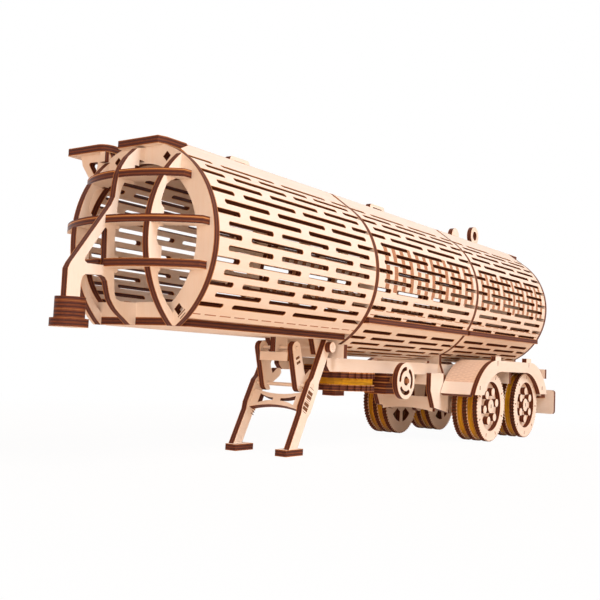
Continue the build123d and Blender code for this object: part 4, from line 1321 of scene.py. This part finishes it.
def fender_sheet(side_name):
    """Bent sheet of one fender, laid out flat as a grid and then bent."""
    node = f"fender_sheet_{side_name}"
    low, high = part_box(node)
    middle_x = (low.x + high.x) / 2
    length = fender_arc()
    bm = bmesh.new()
    uv = bm.loops.layers.uv.new("sheet")
    flat_grid(bm, (length, high.y - low.y), (length / 2, (low.y + high.y) / 2), FENDER_STEPS)
    give_depth(bm, PLY)
    for face in bm.faces:
        flat = abs(face.normal.z) > 0.5
        face.material_index = 0 if flat else 1
        for loop in face.loops:
            point = loop.vert.co
            loop[uv].uv = (point.x, point.y) if flat else (point.x, point.z / PLY)
    for vert in bm.verts:
        bent = fender_place(vert.co.x, vert.co.z)
        vert.co = (middle_x + bent.x, vert.co.y, bent.y)
    bmesh.ops.recalc_face_normals(bm, faces=list(bm.faces))
    materials = [piece_material("fender_hinge"), piece_material("fender_edge")]
    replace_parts(finish_piece(f"{node}_bent", bm, "chassis", materials), node)


class TANKER_OT_fenders(bpy.types.Operator):
    """Bends the two fender sheets"""

    bl_idname = "tanker.fenders"
    bl_label = "Fender Sheets"

    def execute(self, context):
        for _, side_name in SIDES:
            fender_sheet(side_name)
        return {"FINISHED"}


# Carried-over boards, by the direction that they face and their grain
BOARDS = {
    ("X", "Z"): ("bulkhead_second", "bulkhead_third", "bulkhead_rear", "platform_bracket"),
    ("X", "Y"): ("cross_frame", "apron", "fender_carrier", "stand_plank", "bumper", "rear_lamp_board"),
    ("Y", "X"): ("hatch_handles", "roof_fin", "chassis_beams", "axle_hangers", "fender_sides",
                 "stand_hangers", "guard_plates"),
    ("Y", "Z"): ("stand_legs", "stand_washers"),
    ("Z", "X"): ("roof_deck", "front_floor", "rails_middle", "rails_rear", "spare_discs",
                 "spare_carrier", "kingpin", "winch_block", "stand_feet"),
    ("Z", "Y"): ("nose_ribs_cross", "side_platform", "bumper_shelf"),
}


def dress(node, material):
    """Gives a carried-over CAD node one material."""
    piece = NODES[node]
    piece.data.materials.clear()
    piece.data.materials.append(material)


def board_ply(node, facing, grain):
    """Plywood laid as a node's boards lie. Boards mirrored across the middle are measured from it."""
    low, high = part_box(node)
    axis = "XYZ".index(facing)
    mirrored = facing == "Y" and low.y < 0 < high.y and high.y + low.y < MM and high.y > 2 * PLY
    offset = (high if mirrored else low)[axis]
    line_share = KINGPIN_LINE_SHARE if node == "kingpin" else LINE_SHARE
    marks = fender_marks if node == "fender_sides" else None
    return plywood(f"ply_{node}", FACING[facing], offset, grain, mirrored, line_share, marks)


class TANKER_OT_boards(bpy.types.Operator):
    """Gives every carried-over board its plywood"""

    bl_idname = "tanker.boards"
    bl_label = "Boards"

    def execute(self, context):
        for (facing, grain), nodes in BOARDS.items():
            for node in nodes:
                dress(node, board_ply(node, facing, grain))
        return {"FINISHED"}


class TANKER_OT_rods(bpy.types.Operator):
    """Gives the rods, axles and rubber bands their finish"""

    bl_idname = "tanker.rods"
    bl_label = "Rods and Bands"

    def execute(self, context):
        for node in ("stand_rods", "axle_front", "axle_rear"):
            dress(node, rod_wood(f"wood_{node}"))
        for node in ("tyre_bands_front", "tyre_bands_rear", "spare_band"):
            dress(node, rubber(f"rubber_{node}", "Z" if node == "spare_band" else "Y"))
        return {"FINISHED"}


# Stage
CAMERA_PLACE = (0.4266, 0.2608, 0.0455)
CAMERA_RIGHT = (-0.5746, 0.8172, 0.0449)
CAMERA_UP = (0.0852, 0.0051, 0.9964)
CAMERA_BACK = (0.8140, 0.5764, -0.0725)
SENSOR_MM = 36.0
FOCAL_PX = 857.3
FRAME_PX = 600.0
CLIP_START = 0.01
CLIP_END = 20.0
LAMP_TARGET = (0.0, 0.0, 0.08)
# Lamps: name, place, size, watts and colour
LAMPS = (
    ("key", (0.05, 0.80, 0.95), 0.6, 11.0, (0.82, 0.92, 1.0)),
    ("side_fill", (0.0, 1.10, 0.14), 0.5, 2.0, (1.0, 0.80, 0.60)),
    ("back_fill", (-0.30, -1.00, 0.50), 0.6, 4.0, (0.95, 0.97, 1.0)),
    ("front_fill", (1.1, 0.50, 0.20), 0.6, 4.3, (1.0, 0.93, 0.84)),
)
WORLD_COLOUR = (1.0, 0.52, 0.28, 1.0)
WORLD_STRENGTH = 0.36
FLOOR_HALF = 4.0
# Near the trailer the floor shows a little of its shadow, and far off it is plain white
FLOOR_WHITE = 0.965
FADE_FROM = 0.20
FADE_TO = 0.45
PAPER_NOISE = (40.0, 2.0)
PAPER_PALE = 1.02
PAPER_ROUGHNESS = 0.9


def add_camera():
    data = bpy.data.cameras.new("photo_camera")
    data.sensor_width = SENSOR_MM
    data.lens = FOCAL_PX / FRAME_PX * SENSOR_MM
    data.clip_start = CLIP_START
    data.clip_end = CLIP_END
    camera = link("photo_camera", data)
    turn = Matrix((CAMERA_RIGHT, CAMERA_UP, CAMERA_BACK)).transposed()
    camera.matrix_world = Matrix.Translation(CAMERA_PLACE) @ turn.to_4x4()
    bpy.context.scene.camera = camera


def add_lamp(name, place, size, watts, colour):
    data = bpy.data.lights.new(name, "AREA")
    data.color = colour
    data.size = size
    data.energy = watts
    lamp = link(name, data)
    lamp.location = place
    lamp.rotation_euler = (Vector(LAMP_TARGET) - Vector(place)).to_track_quat("-Z", "Y").to_euler()


def add_world():
    world = bpy.data.worlds.new("studio")
    sheet = NodeSheet(world)
    lit = sheet.nodes["Background"]
    lit.inputs["Color"].default_value = WORLD_COLOUR
    lit.inputs["Strength"].default_value = WORLD_STRENGTH
    seen, white = sheet.white("ShaderNodeBackground")
    sheet.show(seen, lit.outputs[0], white, "World Output")
    bpy.context.scene.world = world


def add_floor():
    bm = bmesh.new()
    flat_grid(bm, (2 * FLOOR_HALF, 2 * FLOOR_HALF), (0.0, 0.0))
    floor = link("floor", mesh_of("floor", bm))
    sheet = Surface("floor_paper")
    pale = tuple(min(1.0, c) for c in paint("floor", PAPER_PALE))
    paper = sheet.mix(sheet.noise(sheet.place, *PAPER_NOISE), paint("floor"), pale)
    sheet.finish(paper, PAPER_ROUGHNESS, 0.0)
    seen, white = sheet.white("ShaderNodeEmission")
    far = sheet.ramp(sheet.vector("LENGTH", sheet.place), FADE_FROM, FADE_TO)
    share = sheet.product(seen, sheet.math("ADD", FLOOR_WHITE, sheet.product(far, 1.0 - FLOOR_WHITE)))
    sheet.show(share, sheet.shader.outputs[0], white, "Material Output")
    floor.data.materials.append(sheet.material)


class TANKER_OT_stage(bpy.types.Operator):
    """Sets up the camera, lamps, world and floor"""

    bl_idname = "tanker.stage"
    bl_label = "Stage"

    def execute(self, context):
        scene = context.scene
        scene.view_settings.view_transform = "Standard"
        add_camera()
        add_world()
        add_floor()
        for lamp in LAMPS:
            add_lamp(*lamp)
        return {"FINISHED"}


class TANKER_PT_panel(bpy.types.Panel):
    """Sizes, colours and building steps"""

    bl_idname = "TANKER_PT_panel"
    bl_label = "Tanker Trailer"
    bl_space_type = "VIEW_3D"
    bl_region_type = "UI"
    bl_category = "Tanker"

    def draw(self, context):
        for group in (settings().sizes, settings().colours):
            box = self.layout.box()
            for name in group.__annotations__:
                box.prop(group, name)
        for step in STEPS:
            self.layout.operator(step.bl_idname)


STEPS = (TANKER_OT_stage, TANKER_OT_boards, TANKER_OT_rods, TANKER_OT_skins, TANKER_OT_wheels,
         TANKER_OT_fenders, TANKER_OT_cut_boards, TANKER_OT_marks)
CLASSES = (TankerSizes, TankerColours, TankerSettings, *STEPS, TANKER_PT_panel)


def register():
    for cls in CLASSES:
        bpy.utils.register_class(cls)
    bpy.types.Scene.tanker = PointerProperty(type=TankerSettings)


def unregister():
    del bpy.types.Scene.tanker
    for cls in reversed(CLASSES):
        bpy.utils.unregister_class(cls)


def main():
    register()
    bpy.ops.tanker.stage()
    bpy.ops.tanker.boards()
    bpy.ops.tanker.rods()
    bpy.ops.tanker.skins()
    bpy.ops.tanker.wheels()
    bpy.ops.tanker.fenders()
    bpy.ops.tanker.cut_boards()
    bpy.ops.tanker.marks()


if __name__ == "__main__":
    main()
